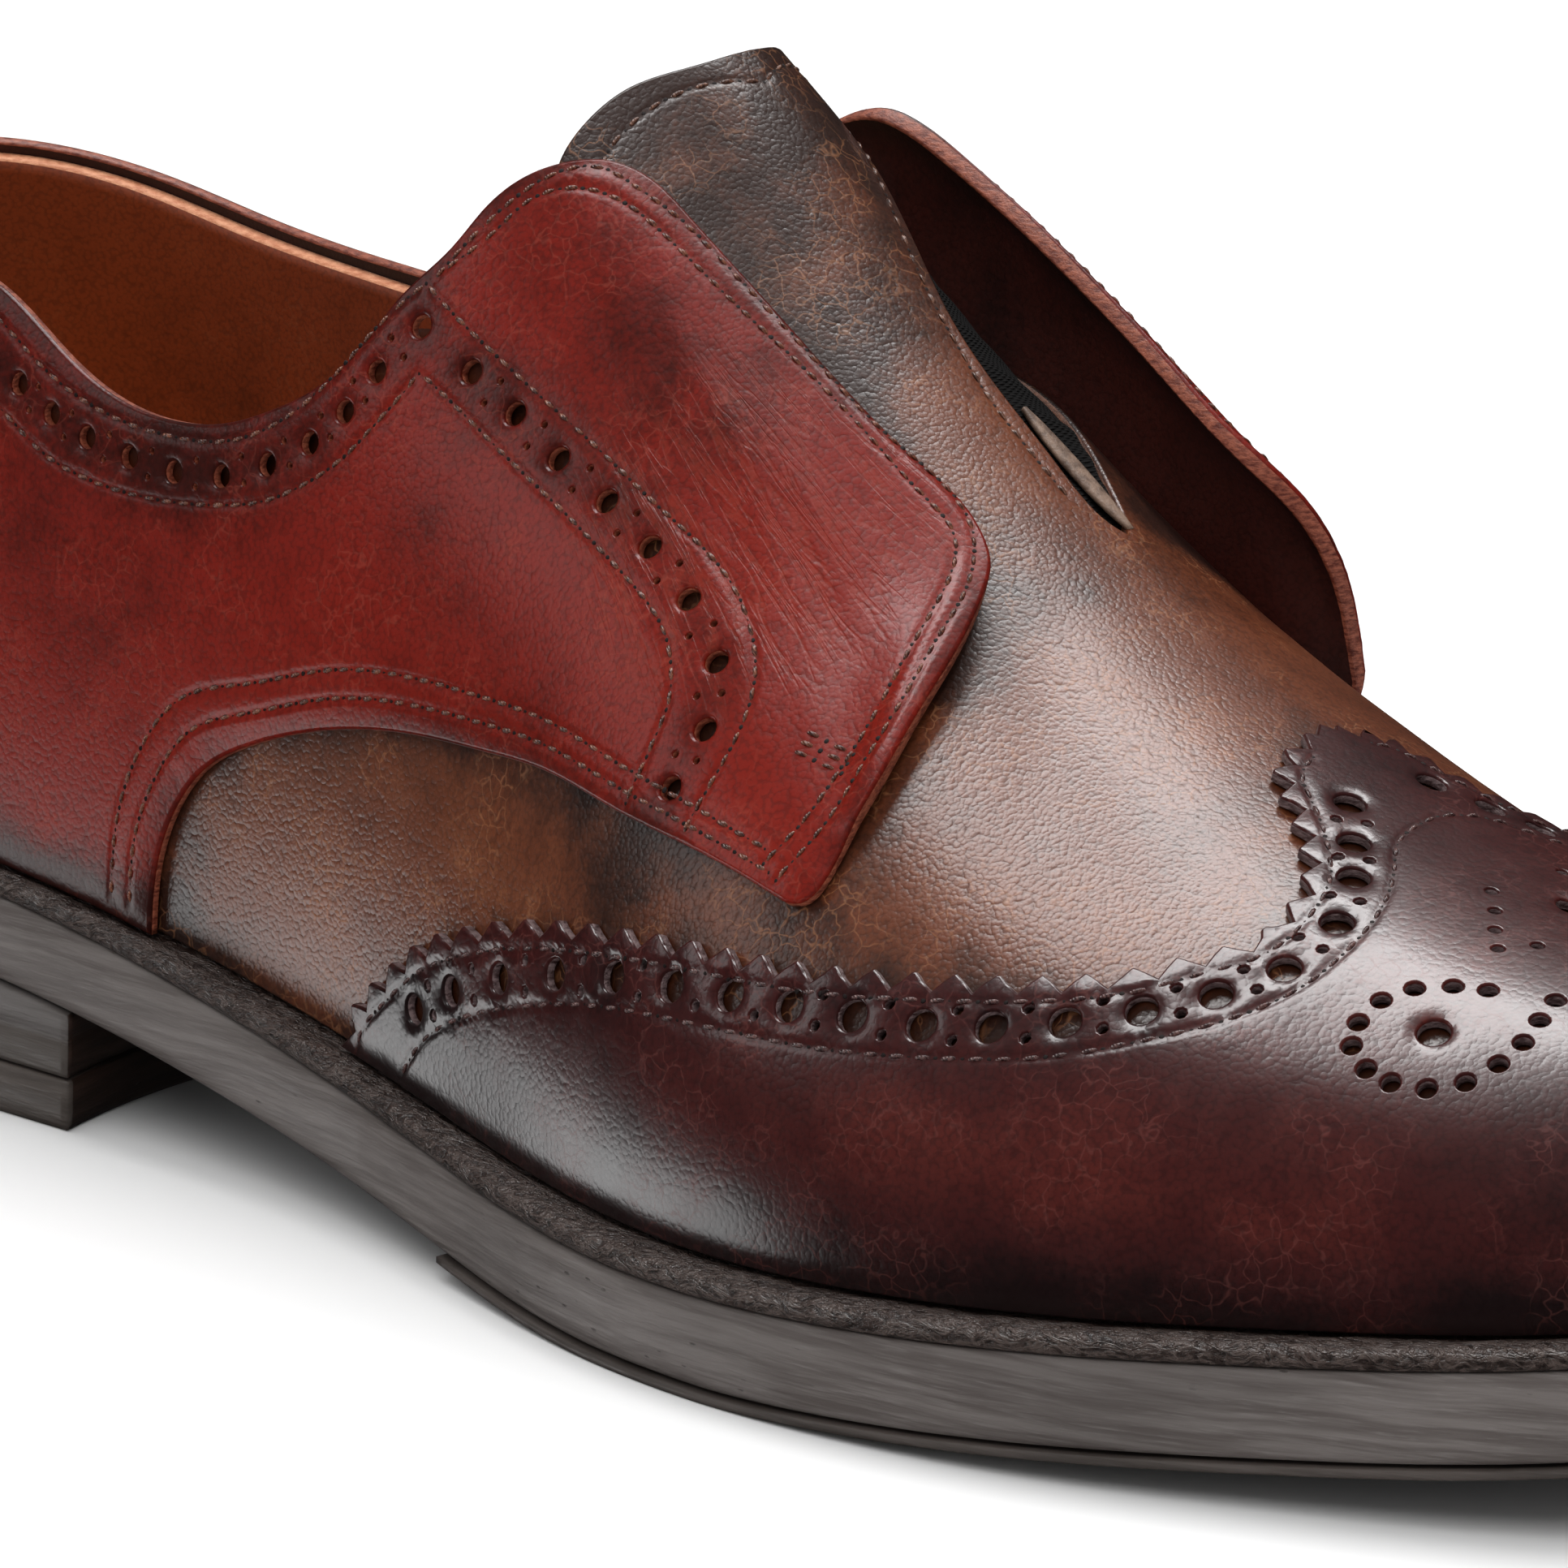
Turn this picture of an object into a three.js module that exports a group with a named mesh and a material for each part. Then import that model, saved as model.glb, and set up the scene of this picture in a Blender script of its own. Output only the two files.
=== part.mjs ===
// Derby shoe, right foot, wingtip brogue with two free flaps held by elastic gussets.
// Millimetres. X runs from the heel to the toe, Y to the medial side, Z up, the ground is Z = 0.
import * as THREE from 'three';

// ------------------------------------------------------------------ driving dimensions
const GAP = 0.3;              // clearance between touching pieces
const WELT_T = 2.2;           // welt thickness
const SOLE_T = 9.1;           // leather outsole thickness
const RUBBER_T = 1.0;         // forefoot rubber layer
const STACK_DOWN = 13.2;      // from feather line down to the underside of the rubber layer
const RUBBER_X0 = 150;        // where the forefoot rubber layer starts
const TOP_PIECE_T = 5.5;      // heel top piece
const BREAST_X = 87;          // heel breast at its two corners
const BREAST_BOW = 6;         // how far the breast bows back in the middle
const WALL = 2.0;             // upper wall, leather and lining together
const QUARTER_T = 1.5;        // quarter leather lying on the upper
const FLAP_T = 2.2;           // lined flap
const CAP_T = 1.3;            // wingtip cap leather
const LIFT_LAT = 1.6;         // how far the lateral flap stands off at its front edge
const LIFT_MED = 9.5;         // how far the medial flap stands off
const INSOLE_T = 3.0;
const INSOLE_IN = 3.2;        // insole inset from the feather line
const WELT_IN = 4.0;          // welt inner edge, inset from the feather line
const CENTRE = [152.2, -1.2]; // plan centre of the whole shoe, moved to the origin

// ------------------------------------------------------------------ last tables
// One row a section from heel back (0) to toe tip (16). x: station. lat, med: feather line.
// kx, ky: crest point. h, b: first handle height and bulge. w: crest flatness. welt: ledge width.
const SECTION_COLUMNS = ['x', 'lat', 'med', 'kx', 'ky', 'hL', 'hM', 'bL', 'bM', 'wL', 'wM', 'weltL', 'weltM'];
const SECTIONS = [
  [7.0, 0.0, 0.0, 52.0, 0.0, .50, .50, 4.0, 4.0, .60, .60, 3.5, 3.5],
  [12.4, -18.2, 18.2, 52.6, 0.0, .50, .50, 4.0, 4.0, .60, .60, 3.5, 3.5],
  [26.8, -29.3, 29.3, 55.5, 0.2, .50, .50, 3.0, 3.0, .58, .58, 3.3, 3.3],
  [45.0, -32.4, 32.0, 61.0, 0.5, .50, .50, 2.0, 2.5, .54, .56, 3.2, 3.0],
  [65.0, -33.0, 31.0, 71.5, 1.0, .50, .50, 1.5, 2.5, .50, .56, 3.3, 2.8],
  [86.0, -32.8, 28.6, 87.5, 2.5, .50, .50, 1.5, 3.0, .50, .64, 3.6, 2.6],
  [107.0, -33.0, 26.4, 107.0, 5.0, .48, .48, 2.0, 4.0, .53, .82, 4.0, 2.8],
  [128.0, -35.0, 26.4, 128.0, 7.8, .46, .47, 2.5, 6.0, .57, 1.02, 4.6, 3.5],
  [149.0, -39.5, 30.0, 149.0, 8.8, .45, .47, 2.5, 6.0, .60, .92, 5.3, 4.6],
  [170.0, -45.0, 36.5, 170.0, 8.8, .46, .50, 2.5, 5.0, .62, .72, 6.0, 5.6],
  [191.0, -48.4, 42.6, 191.0, 8.3, .49, .53, 2.5, 4.0, .62, .60, 6.4, 6.2],
  [212.0, -47.8, 46.0, 211.5, 7.5, .54, .56, 2.5, 3.0, .62, .57, 6.5, 6.5],
  [233.0, -43.6, 45.0, 231.0, 6.5, .57, .58, 2.5, 2.6, .62, .57, 6.5, 6.5],
  [253.0, -35.8, 39.6, 247.0, 5.6, .60, .60, 2.5, 2.5, .62, .58, 6.5, 6.5],
  [271.5, -27.0, 32.3, 258.0, 4.8, .60, .60, 2.5, 2.5, .62, .60, 6.5, 6.5],
  [286.8, -14.6, 22.2, 263.5, 4.2, .60, .60, 2.5, 2.5, .62, .62, 6.5, 6.5],
  [294.4, 4.0, 4.0, 265.0, 4.0, .60, .60, 2.5, 2.5, .62, .62, 6.5, 6.5],
];
// feather line height along the length: heel seat, arch, ball, toe spring
const FEATHER_Z = [[0, 29.6], [30, 28.8], [60, 27.4], [85, 24.9], [110, 20.8], [135, 16.9], [160, 14.1], [185, 13.1], [205, 13.5], [230, 15.1], [255, 17.2], [280, 19.9], [304, 23.6]];
// crest height along the length: instep ridge, vamp, toe box
const CREST_Z = [[45, 132], [65, 138], [87, 138], [107, 133], [128, 120], [149, 104.2], [170, 88.3], [191, 73.8], [212, 62.5], [233, 54.2], [250, 49.4], [268, 45.5]];
// collar and throat edge of the upper: section number, height share lateral, medial
const COLLAR = [[0, .405, .405], [1, .404, .402], [2, .398, .374], [3, .386, .341], [4, .366, .326], [5, .320, .330], [5.5, .323, .345], [6, .360, .383], [6.3, .405, .425], [6.6, .478, .480], [7, .535, .535], [7.5, .585, .585], [8, .635, .635], [8.5, .70, .70], [8.9, .78, .78], [9.2, .84, .84]];
const THROAT_U = 9.2;         // section number where the throat closes
const THROAT_T = .84;
// quarter: lower edge (uB, tB) and upper edge (uT, tT) from the heel seam to the front corner; lift: share of the flap lift
const QUARTER_COLUMNS = ['uB', 'tB', 'uT', 'tT', 'lift', 'tTmed'];
const QUARTER = [
  [0.00, .012, 0.00, .405, 0, .405],
  [1.00, .012, 1.00, .404, 0, .402],
  [2.00, .012, 2.00, .398, 0, .374],
  [3.00, .012, 3.00, .386, 0, .341],
  [4.00, .012, 4.00, .366, 0, .326],
  [4.80, .012, 4.80, .324, 0, .327],
  [5.40, .014, 5.35, .318, 0, .340],
  [5.62, .070, 5.70, .335, 0, .357],
  [5.85, .120, 6.00, .360, 0, .383],
  [6.17, .155, 6.30, .405, 0, .425],
  [6.50, .185, 6.60, .485, .02, .490],
  [6.85, .214, 6.90, .590, .10, .590],
  [7.30, .248, 7.14, .684, .30, .672],
  [7.70, .279, 7.40, .765, .60, .745],
  [8.10, .307, 7.90, .801, .85, .775],
  [8.55, .334, 8.50, .816, .95, .790],
  [8.95, .353, 9.10, .832, 1.0, .800],
  [9.35, .371, 9.60, .848, 1.0, .805],
  [9.65, .384, 9.90, .815, 1.0, .780],
  [9.85, .390, 10.06, .745, .95, .720],
  [10.00, .392, 10.17, .645, .75, .630],
  [10.10, .393, 10.22, .520, .45, .515],
];
const ROOT = .50;             // share of the quarter's height where the flap starts to stand off
// wingtip cap edge: section number and height share, up to the shoulder where it turns back to its peak
const CAP_EDGE = [[6.98, .030], [7.18, .062], [7.51, .110], [7.90, .156], [8.42, .207], [8.80, .240], [9.37, .286], [9.88, .321], [10.35, .353], [10.77, .389], [11.15, .428], [11.50, .474], [11.81, .532], [12.02, .595], [12.16, .68]];
const CAP_T_SHOULDER = .68;
const CAP_PEAK_BACK = .78;    // how many sections the peak runs back from the shoulder
// tongue: section number, side edge height share, how far the top edge is cut back there
const TONGUE_U0 = 7.05, TONGUE_U1 = 9.13;
const TONGUE_EDGE = [[7.0, .70], [7.5, .715], [8.0, .735], [8.5, .775], [8.8, .815], [9.0, .85], [9.2, .885]];

// ------------------------------------------------------------------ splines
function spline(x, rows, closed = false) {
  const n = x.length, k = rows[0].length, m = [];
  const A = Array.from({ length: n }, () => new Float64Array(n)), r = rows.map(() => new Float64Array(k));
  if (closed) {
    for (let i = 0; i < n; i++) {
      A[i][(i - 1 + n) % n] += 1; A[i][i] += 4; A[i][(i + 1) % n] += 1;
      for (let c = 0; c < k; c++) r[i][c] = 3 * (rows[(i + 1) % n][c] - rows[(i - 1 + n) % n][c]);
    }
  } else {
    const h = i => x[i + 1] - x[i];
    for (let i = 1; i < n - 1; i++) {
      A[i][i - 1] = 1 / h(i - 1); A[i][i] = 2 * (1 / h(i - 1) + 1 / h(i)); A[i][i + 1] = 1 / h(i);
      for (let c = 0; c < k; c++) r[i][c] = 3 * ((rows[i][c] - rows[i - 1][c]) / h(i - 1) ** 2 + (rows[i + 1][c] - rows[i][c]) / h(i) ** 2);
    }
    A[0][0] = 2; A[0][1] = 1; A[n - 1][n - 2] = 1; A[n - 1][n - 1] = 2;
    for (let c = 0; c < k; c++) {
      r[0][c] = 3 * (rows[1][c] - rows[0][c]) / h(0);
      r[n - 1][c] = 3 * (rows[n - 1][c] - rows[n - 2][c]) / h(n - 2);
    }
  }
  for (let i = 0; i < n; i++) {            // elimination with pivoting
    let p = i;
    for (let j = i + 1; j < n; j++) if (Math.abs(A[j][i]) > Math.abs(A[p][i])) p = j;
    [A[i], A[p]] = [A[p], A[i]]; [r[i], r[p]] = [r[p], r[i]];
    for (let j = i + 1; j < n; j++) {
      const f = A[j][i] / A[i][i];
      if (!f) continue;
      for (let c = i; c < n; c++) A[j][c] -= f * A[i][c];
      for (let c = 0; c < k; c++) r[j][c] -= f * r[i][c];
    }
  }
  for (let i = n - 1; i >= 0; i--) {
    m[i] = new Float64Array(k);
    for (let c = 0; c < k; c++) {
      let s = r[i][c];
      for (let j = i + 1; j < n; j++) s -= A[i][j] * m[j][c];
      m[i][c] = s / A[i][i];
    }
  }
  return (t, der = 0) => {
    let i, j, h, q;
    if (closed) { t = ((t % n) + n) % n; i = Math.min(Math.floor(t), n - 1); j = (i + 1) % n; h = 1; q = t - i; } else {
      i = 0; while (i < n - 2 && t >= x[i + 1]) i++;
      j = i + 1; h = x[j] - x[i]; q = (t - x[i]) / h;
    }
    const o = [];
    for (let c = 0; c < k; c++) {
      const a = rows[i][c], b = rows[j][c], u = m[i][c], v = m[j][c];
      o.push(der ? ((6 * q * q - 6 * q) * a + (-6 * q * q + 6 * q) * b) / h + (3 * q * q - 4 * q + 1) * u + (3 * q * q - 2 * q) * v
        : (2 * q ** 3 - 3 * q * q + 1) * a + (q ** 3 - 2 * q * q + q) * h * u + (-2 * q ** 3 + 3 * q * q) * b + (q ** 3 - q * q) * h * v);
    }
    return o;
  };
}
const col = n => SECTION_COLUMNS.indexOf(n);
const around = (l, m) => [...SECTIONS.map(r => r[col(l)]), ...SECTIONS.slice(1, 16).reverse().map(r => r[col(m)])];
const pair = (...cols) => { const c = cols.map(([l, m]) => around(l, m)); return c[0].map((_, i) => c.map(a => a[i])); };
const idx = [...Array(32).keys()];
const feather = spline(idx, pair(['x', 'x'], ['lat', 'med']), true);
const crest = spline(idx, pair(['kx', 'kx'], ['ky', 'ky']), true);
const shape = spline(idx, pair(['hL', 'hM'], ['bL', 'bM'], ['wL', 'wM'], ['weltL', 'weltM']), true);
const featherZ = spline(FEATHER_Z.map(r => r[0]), FEATHER_Z.map(r => [r[1]]));
const crestZ = spline(CREST_Z.map(r => r[0]), CREST_Z.map(r => [r[1]]));

// outer face of the upper: u runs round the shoe (0 heel, 16 toe, 0 to 16 lateral), t from feather line to crest
function last(u, t) {
  const [px, py] = feather(u), [kx, ky] = crest(u), [h, b, w] = shape(u);
  const zf = featherZ(px)[0], zk = crestZ(kx)[0], sl = crestZ(kx, 1)[0];
  const W = Math.hypot(px - kx, py - ky), dx = (px - kx) / W, dy = (py - ky) / W, q = 1 - t, ww = w * W;
  const p = [[px, py, zf], [px + dx * b, py + dy * b, zf + h * (zk - zf)], [kx + dx * ww, ky + dy * ww, zk + dx * ww * sl], [kx, ky, zk]];
  const f = [q ** 3, 3 * q * q * t, 3 * q * t * t, t ** 3];
  return [0, 1, 2].map(c => p[0][c] * f[0] + p[1][c] * f[1] + p[2][c] * f[2] + p[3][c] * f[3]);
}
function normal(u, t) {
  if (t > .9995) { const s = crestZ(crest(u)[0], 1)[0], l = Math.hypot(s, 1); return [-s / l, 0, 1 / l]; }
  const e = 1e-3, a = last(u + e, t), b = last(u - e, t), c = last(u, t + e), d = last(u, t - e);
  const v = new THREE.Vector3(a[0] - b[0], a[1] - b[1], a[2] - b[2]).cross(new THREE.Vector3(c[0] - d[0], c[1] - d[1], c[2] - d[2])).normalize();
  return [v.x, v.y, v.z];
}
const off = (u, t, d) => { const p = last(u, t), n = normal(u, t); return p.map((v, i) => v + n[i] * d); };
// the sole's outline in plan, pushed out from the feather line by a share of the welt width and a fixed amount
function outline(u, share, extra = 0) {
  const [px, py] = feather(u), [dx, dy] = feather(u, 1), l = Math.hypot(dx, dy), w = shape(u)[3] * share + extra;
  return [px + dy / l * w, py - dx / l * w];
}
const lerp = (a, b, s) => a + (b - a) * s;
const smooth = (s) => { s = Math.min(1, Math.max(0, s)); return s * s * (3 - 2 * s); };

// ------------------------------------------------------------------ closed solid from a patch of cells
// each node has a top and a bottom point; cells are quads of nodes; free edges get a rim
class Patch {
  constructor() { this.top = []; this.bot = []; this.cells = []; this.keys = new Map(); }
  node(key, make) {
    if (!this.keys.has(key)) { const [a, b] = make(); this.keys.set(key, this.top.length); this.top.push(a); this.bot.push(b); }
    return this.keys.get(key);
  }
  cell(a, b, c, d) { this.cells.push([a, b, c, d]); }
  geometry() {
    const n = this.top.length, tri = [], count = new Map();
    const put = (a, b, c) => { if (a !== b && b !== c && a !== c) tri.push(a, b, c); };
    for (const [a, b, c, d] of this.cells) {
      put(a, b, c); put(a, c, d); put(n + a, n + c, n + b); put(n + a, n + d, n + c);
      for (const [i, j] of [[a, b], [b, c], [c, d], [d, a]]) if (i !== j) count.set(`${i},${j}`, [i, j]);
    }
    for (const [i, j] of count.values()) if (!count.has(`${j},${i}`)) { put(i, n + i, n + j); put(i, n + j, j); }
    const P = [...this.top, ...this.bot].map(p => [p[0] - CENTRE[0], p[1] - CENTRE[1], p[2]]);
    // turn every face out: the signed volume tells which way round the cells were given
    let vol = 0;
    for (let i = 0; i < tri.length; i += 3) {
      const [a, b, c] = [P[tri[i]], P[tri[i + 1]], P[tri[i + 2]]];
      vol += a[0] * (b[1] * c[2] - b[2] * c[1]) - a[1] * (b[0] * c[2] - b[2] * c[0]) + a[2] * (b[0] * c[1] - b[1] * c[0]);
    }
    if (vol < 0) for (let i = 0; i < tri.length; i += 3) [tri[i + 1], tri[i + 2]] = [tri[i + 2], tri[i + 1]];
    const g = new THREE.BufferGeometry();
    g.setAttribute('position', new THREE.Float32BufferAttribute(P.flat(), 3));
    g.setIndex(tri);
    g.computeVertexNormals();
    return g;
  }
}
// a plain grid of cells; at(a, b) gives the top and bottom point
function grid(na, nb, at, wrap = false) {
  const p = new Patch(), N = (i, j) => p.node(`${wrap ? i % na : i}_${j}`, () => at((wrap ? i % na : i) / na, j / nb, i, j));
  for (let i = 0; i < na; i++) for (let j = 0; j < nb; j++) p.cell(N(i, j), N(i + 1, j), N(i + 1, j + 1), N(i, j + 1));
  return p.geometry();
}
// a shell on the last that is open at the back or at a wing and closed over the crest in front of section uj
// edge(i, side): height share of its free edge; warp moves the crest end of the front columns
function crestShell({ left, right, uj, tj, edge, warp, rows, rowsTop, out, inn, periodic, t0 = 0 }) {
  const p = new Patch();
  const N = (u, t, tag) => {
    const shared = t > .9999;
    const uu = shared ? Math.min(u, 32 - u) : u;
    return p.node(`${uu.toFixed(4)}_${shared ? 'K' : tag}`, () => [off(warp(uu, t), t, out), off(warp(uu, t), t, inn)]);
  };
  const side = (s) => {       // s = 1 lateral, -1 medial
    const U = i => s > 0 ? i : (periodic && i === 0 ? 0 : 32 - i);
    const quad = (a, b, c, d) => s > 0 ? p.cell(a, b, c, d) : p.cell(d, c, b, a);
    for (let k = 0; k < left.length - 1; k++) for (let j = 0; j < rows; j++) {
      const n = (i, r) => N(U(i), lerp(t0, edge(i, s), r / rows), r);
      quad(n(left[k], j), n(left[k + 1], j), n(left[k + 1], j + 1), n(left[k], j + 1));
    }
    for (let k = 0; k < right.length - 1; k++) for (let j = 0; j < rows + rowsTop; j++) {
      const n = (i, r) => N(U(i), r <= rows ? lerp(t0, tj, r / rows) : lerp(tj, 1, (r - rows) / rowsTop), r);
      quad(n(right[k], j), n(right[k + 1], j), n(right[k + 1], j + 1), n(right[k], j + 1));
    }
  };
  side(1); side(-1);
  return p.geometry();
}
const steps = (a, b, n) => [...Array(n + 1).keys()].map(i => lerp(a, b, i / n));

// ------------------------------------------------------------------ materials
const leather = (c, r = .38) => new THREE.MeshStandardMaterial({ color: c, roughness: r, metalness: 0 });
const M = {
  vamp: leather(0x5d3a22), quarter: leather(0x6b2016), cap: leather(0x35151a), sole: leather(0x4c4846, .6), rubber: leather(0x25221f, .75),
  welt: leather(0x2b201b, .7), heel: leather(0x3c3633, .6), insole: leather(0x8a5a34, .7), elastic: leather(0x0c0b0b, .9),
};
const shoe = new THREE.Group();
const add = (name, geometry, material) => { const m = new THREE.Mesh(geometry, material); m.name = name; shoe.add(m); };

// ------------------------------------------------------------------ bottom
const Z = { weltTop: -GAP, weltBot: -GAP - WELT_T, soleTop: -2 * GAP - WELT_T, soleBot: -2 * GAP - WELT_T - SOLE_T, rubberTop: -STACK_DOWN + RUBBER_T };
const zf = x => featherZ(x)[0];
const soleUnder = x => Math.max(zf(x) + Z.soleBot, x > RUBBER_X0 - 8 ? RUBBER_T + GAP : 0);
// the welt runs all round between the upper and the outsole
add('welt', grid(80, 2, (a, b) => {
  const u = a * 32, [x, y] = b < .5 ? outline(u, 0, -WELT_IN) : b < 1 ? outline(u, 0, 0) : outline(u, 1);
  return [[x, y, zf(x) + Z.weltTop], [x, y, zf(x) + Z.weltBot]];
}, true), M.welt);
// across a station: lateral to medial edge
const across = (u, v, share, extra) => { const l = outline(u, share, extra), m = outline(32 - u, share, extra); return [lerp(l[0], m[0], v), lerp(l[1], m[1], v)]; };
const stations = (u0, u1, n) => i => lerp(u0, u1, i / n);
add('outsole', grid(48, 2, (a, b, i) => {
  const [x, y] = across(.06 + (15.94 - .06) * a, b, 1, -.4);
  return [[x, y, zf(x) + Z.soleTop], [x, y, soleUnder(x)]];
}), M.sole);
// section number where the outline reaches a given length
function sectionAt(x, share, extra) { let a = .5, b = 15.5; for (let i = 0; i < 40; i++) { const m = (a + b) / 2; (outline(m, share, extra)[0] < x) ? a = m : b = m; } return a; }
const uR = sectionAt(RUBBER_X0, 1, -.6);
add('forefoot_rubber', grid(40, 2, (a, b) => {
  const [x, y] = across(lerp(uR, 15.94, a), b, 1, -.6);
  return [[x, y, Math.max(RUBBER_T, zf(x) + Z.rubberTop)], [x, y, Math.max(0, zf(x) - STACK_DOWN)]];
}), M.rubber);
const uH = sectionAt(BREAST_X, 1, -.5);
const heelAt = (a, b, shrink) => {
  const [x, y] = across(lerp(.06, uH, a), b, 1, shrink);
  return [x - BREAST_BOW * (1 - (2 * b - 1) ** 2) * a * a * a, y];
};
add('heel_stack', grid(14, 6, (a, b) => {
  const [x, y] = heelAt(a, b, -.5), [x2, y2] = heelAt(a, b, -.9);
  return [[x, y, zf(x) + Z.soleBot - GAP], [x2, y2, TOP_PIECE_T + GAP]];
}), M.heel);
add('heel_top_piece', grid(14, 6, (a, b) => {
  const [x, y] = heelAt(a, b, -.9), [x2, y2] = heelAt(a, b, -1.1);
  return [[x, y, TOP_PIECE_T], [x2, y2, 0]];
}), M.rubber);
add('insole', grid(48, 2, (a, b) => {
  const [x, y] = across(lerp(.06, 15.94, a), b, 0, -INSOLE_IN);
  return [[x, y, zf(x) + INSOLE_T], [x, y, zf(x) + .1]];
}), M.insole);

// ------------------------------------------------------------------ upper
const collar = spline(COLLAR.map(r => r[0]), COLLAR.map(r => [r[1], r[2]]));
add('upper', crestShell({
  left: [...steps(0, 6, 16), ...steps(6, THROAT_U, 9).slice(1)], right: steps(THROAT_U, 16, 17), uj: THROAT_U, tj: THROAT_T,
  edge: (i, s) => collar(i)[s > 0 ? 0 : 1], warp: (u, t) => u, rows: 8, rowsTop: 2, out: 0, inn: -WALL, periodic: true, t0: .004,
}), M.vamp);

// quarters with their free flaps
const quarter = spline(QUARTER.map((_, i) => i), QUARTER);
function quarterAt(s, v, side) {
  const r = quarter(s * (QUARTER.length - 1)), tT = side > 0 ? r[3] : r[5];
  const u = lerp(r[0], r[2], v), t = lerp(r[1], tT, v);
  const rise = Math.max(0, r[4]) * smooth((v - ROOT) / (1 - ROOT)) ** (side > 0 ? 1 : .8);
  const lift = rise * (side > 0 ? LIFT_LAT : LIFT_MED);
  const thick = lerp(QUARTER_T, FLAP_T, Math.min(1, rise * 2));
  const uu = side > 0 ? u : 32 - u;
  return [off(uu, t, .5 + lift + thick), off(uu, t, .5 + lift)];
}
for (const [name, side] of [['quarter_lateral', 1], ['quarter_medial', -1]]) {
  add(name, grid(38, 6, (a, b) => quarterAt(lerp(.004, 1, a), b, side)), M.quarter);
}

// wingtip cap: cut between two forms that follow the upper's own function
const capEdge = spline(CAP_EDGE.map(r => r[0]), CAP_EDGE.map(r => [r[1]]));
add('toe_cap', crestShell({
  left: steps(6.98, 12.16, 14), right: steps(12.16, 16, 10), uj: 12.16, tj: CAP_T_SHOULDER,
  edge: i => capEdge(i)[0], warp: (u, t) => { const i = Math.min(u, 32 - u), d = CAP_PEAK_BACK * smooth((t - CAP_T_SHOULDER) / (1 - CAP_T_SHOULDER)) * smooth((14.6 - i) / 2.4); return u < 16 ? u - d : u > 16 ? u + d : u; },
  rows: 6, rowsTop: 3, out: .75 + CAP_T, inn: .75, periodic: false, t0: .012,
}), M.cap);

// tongue: fills the throat under the two flaps and rises to its own rounded top
const tongueEdge = spline(TONGUE_EDGE.map(r => r[0]), TONGUE_EDGE.map(r => [r[1]]));
add('tongue', grid(10, 12, (a, b) => {
  const r = 2 * b - 1, k = 1 - Math.abs(r);          // k: 0 at the side edge, 1 on the crest
  const uTop = TONGUE_U0 + .33 * smooth(k), u = lerp(uTop, TONGUE_U1, a), t = lerp(tongueEdge(u)[0], 1, k);
  const lift = .5 * (1 - a), uu = r <= 0 ? u : 32 - u;
  return [off(uu, t, lift), off(uu, t, lift - 1.9)];
}), M.vamp);
// elastic gussets between the tongue's side edges and the throat edge
for (const [name, side] of [['gusset_lateral', 1], ['gusset_medial', -1]]) {
  add(name, grid(12, 3, (a, b) => {
    const u = lerp(7.08, 8.72, a), lo = collar(u)[side > 0 ? 0 : 1] + .012, hi = tongueEdge(u)[0] - .014;
    const t = lerp(lo, Math.max(hi, lo + .01), b), uu = side > 0 ? u : 32 - u;
    return [off(uu, t, -.4), off(uu, t, -1.6)];
  }), M.elastic);
}
export default shoe;
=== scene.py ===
import bpy, math
import numpy as np
from mathutils import Vector, Matrix, kdtree
from mathutils.geometry import delaunay_2d_cdt


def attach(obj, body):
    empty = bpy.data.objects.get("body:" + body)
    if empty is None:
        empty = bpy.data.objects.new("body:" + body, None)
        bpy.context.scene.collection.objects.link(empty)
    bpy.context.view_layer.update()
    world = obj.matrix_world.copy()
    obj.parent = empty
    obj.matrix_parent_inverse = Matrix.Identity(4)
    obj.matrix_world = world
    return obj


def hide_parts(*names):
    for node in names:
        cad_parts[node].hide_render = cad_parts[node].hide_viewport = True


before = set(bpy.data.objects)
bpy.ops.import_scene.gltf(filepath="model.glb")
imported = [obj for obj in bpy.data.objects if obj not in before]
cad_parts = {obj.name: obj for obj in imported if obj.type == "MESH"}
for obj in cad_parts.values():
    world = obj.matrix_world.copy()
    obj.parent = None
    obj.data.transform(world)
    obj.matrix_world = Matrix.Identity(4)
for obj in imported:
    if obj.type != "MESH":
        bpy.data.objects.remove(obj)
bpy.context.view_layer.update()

RNG = np.random.default_rng(7)
CX, CY = 152.2, -1.2          # plan centre of the shoe in the last's own millimetres

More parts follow.
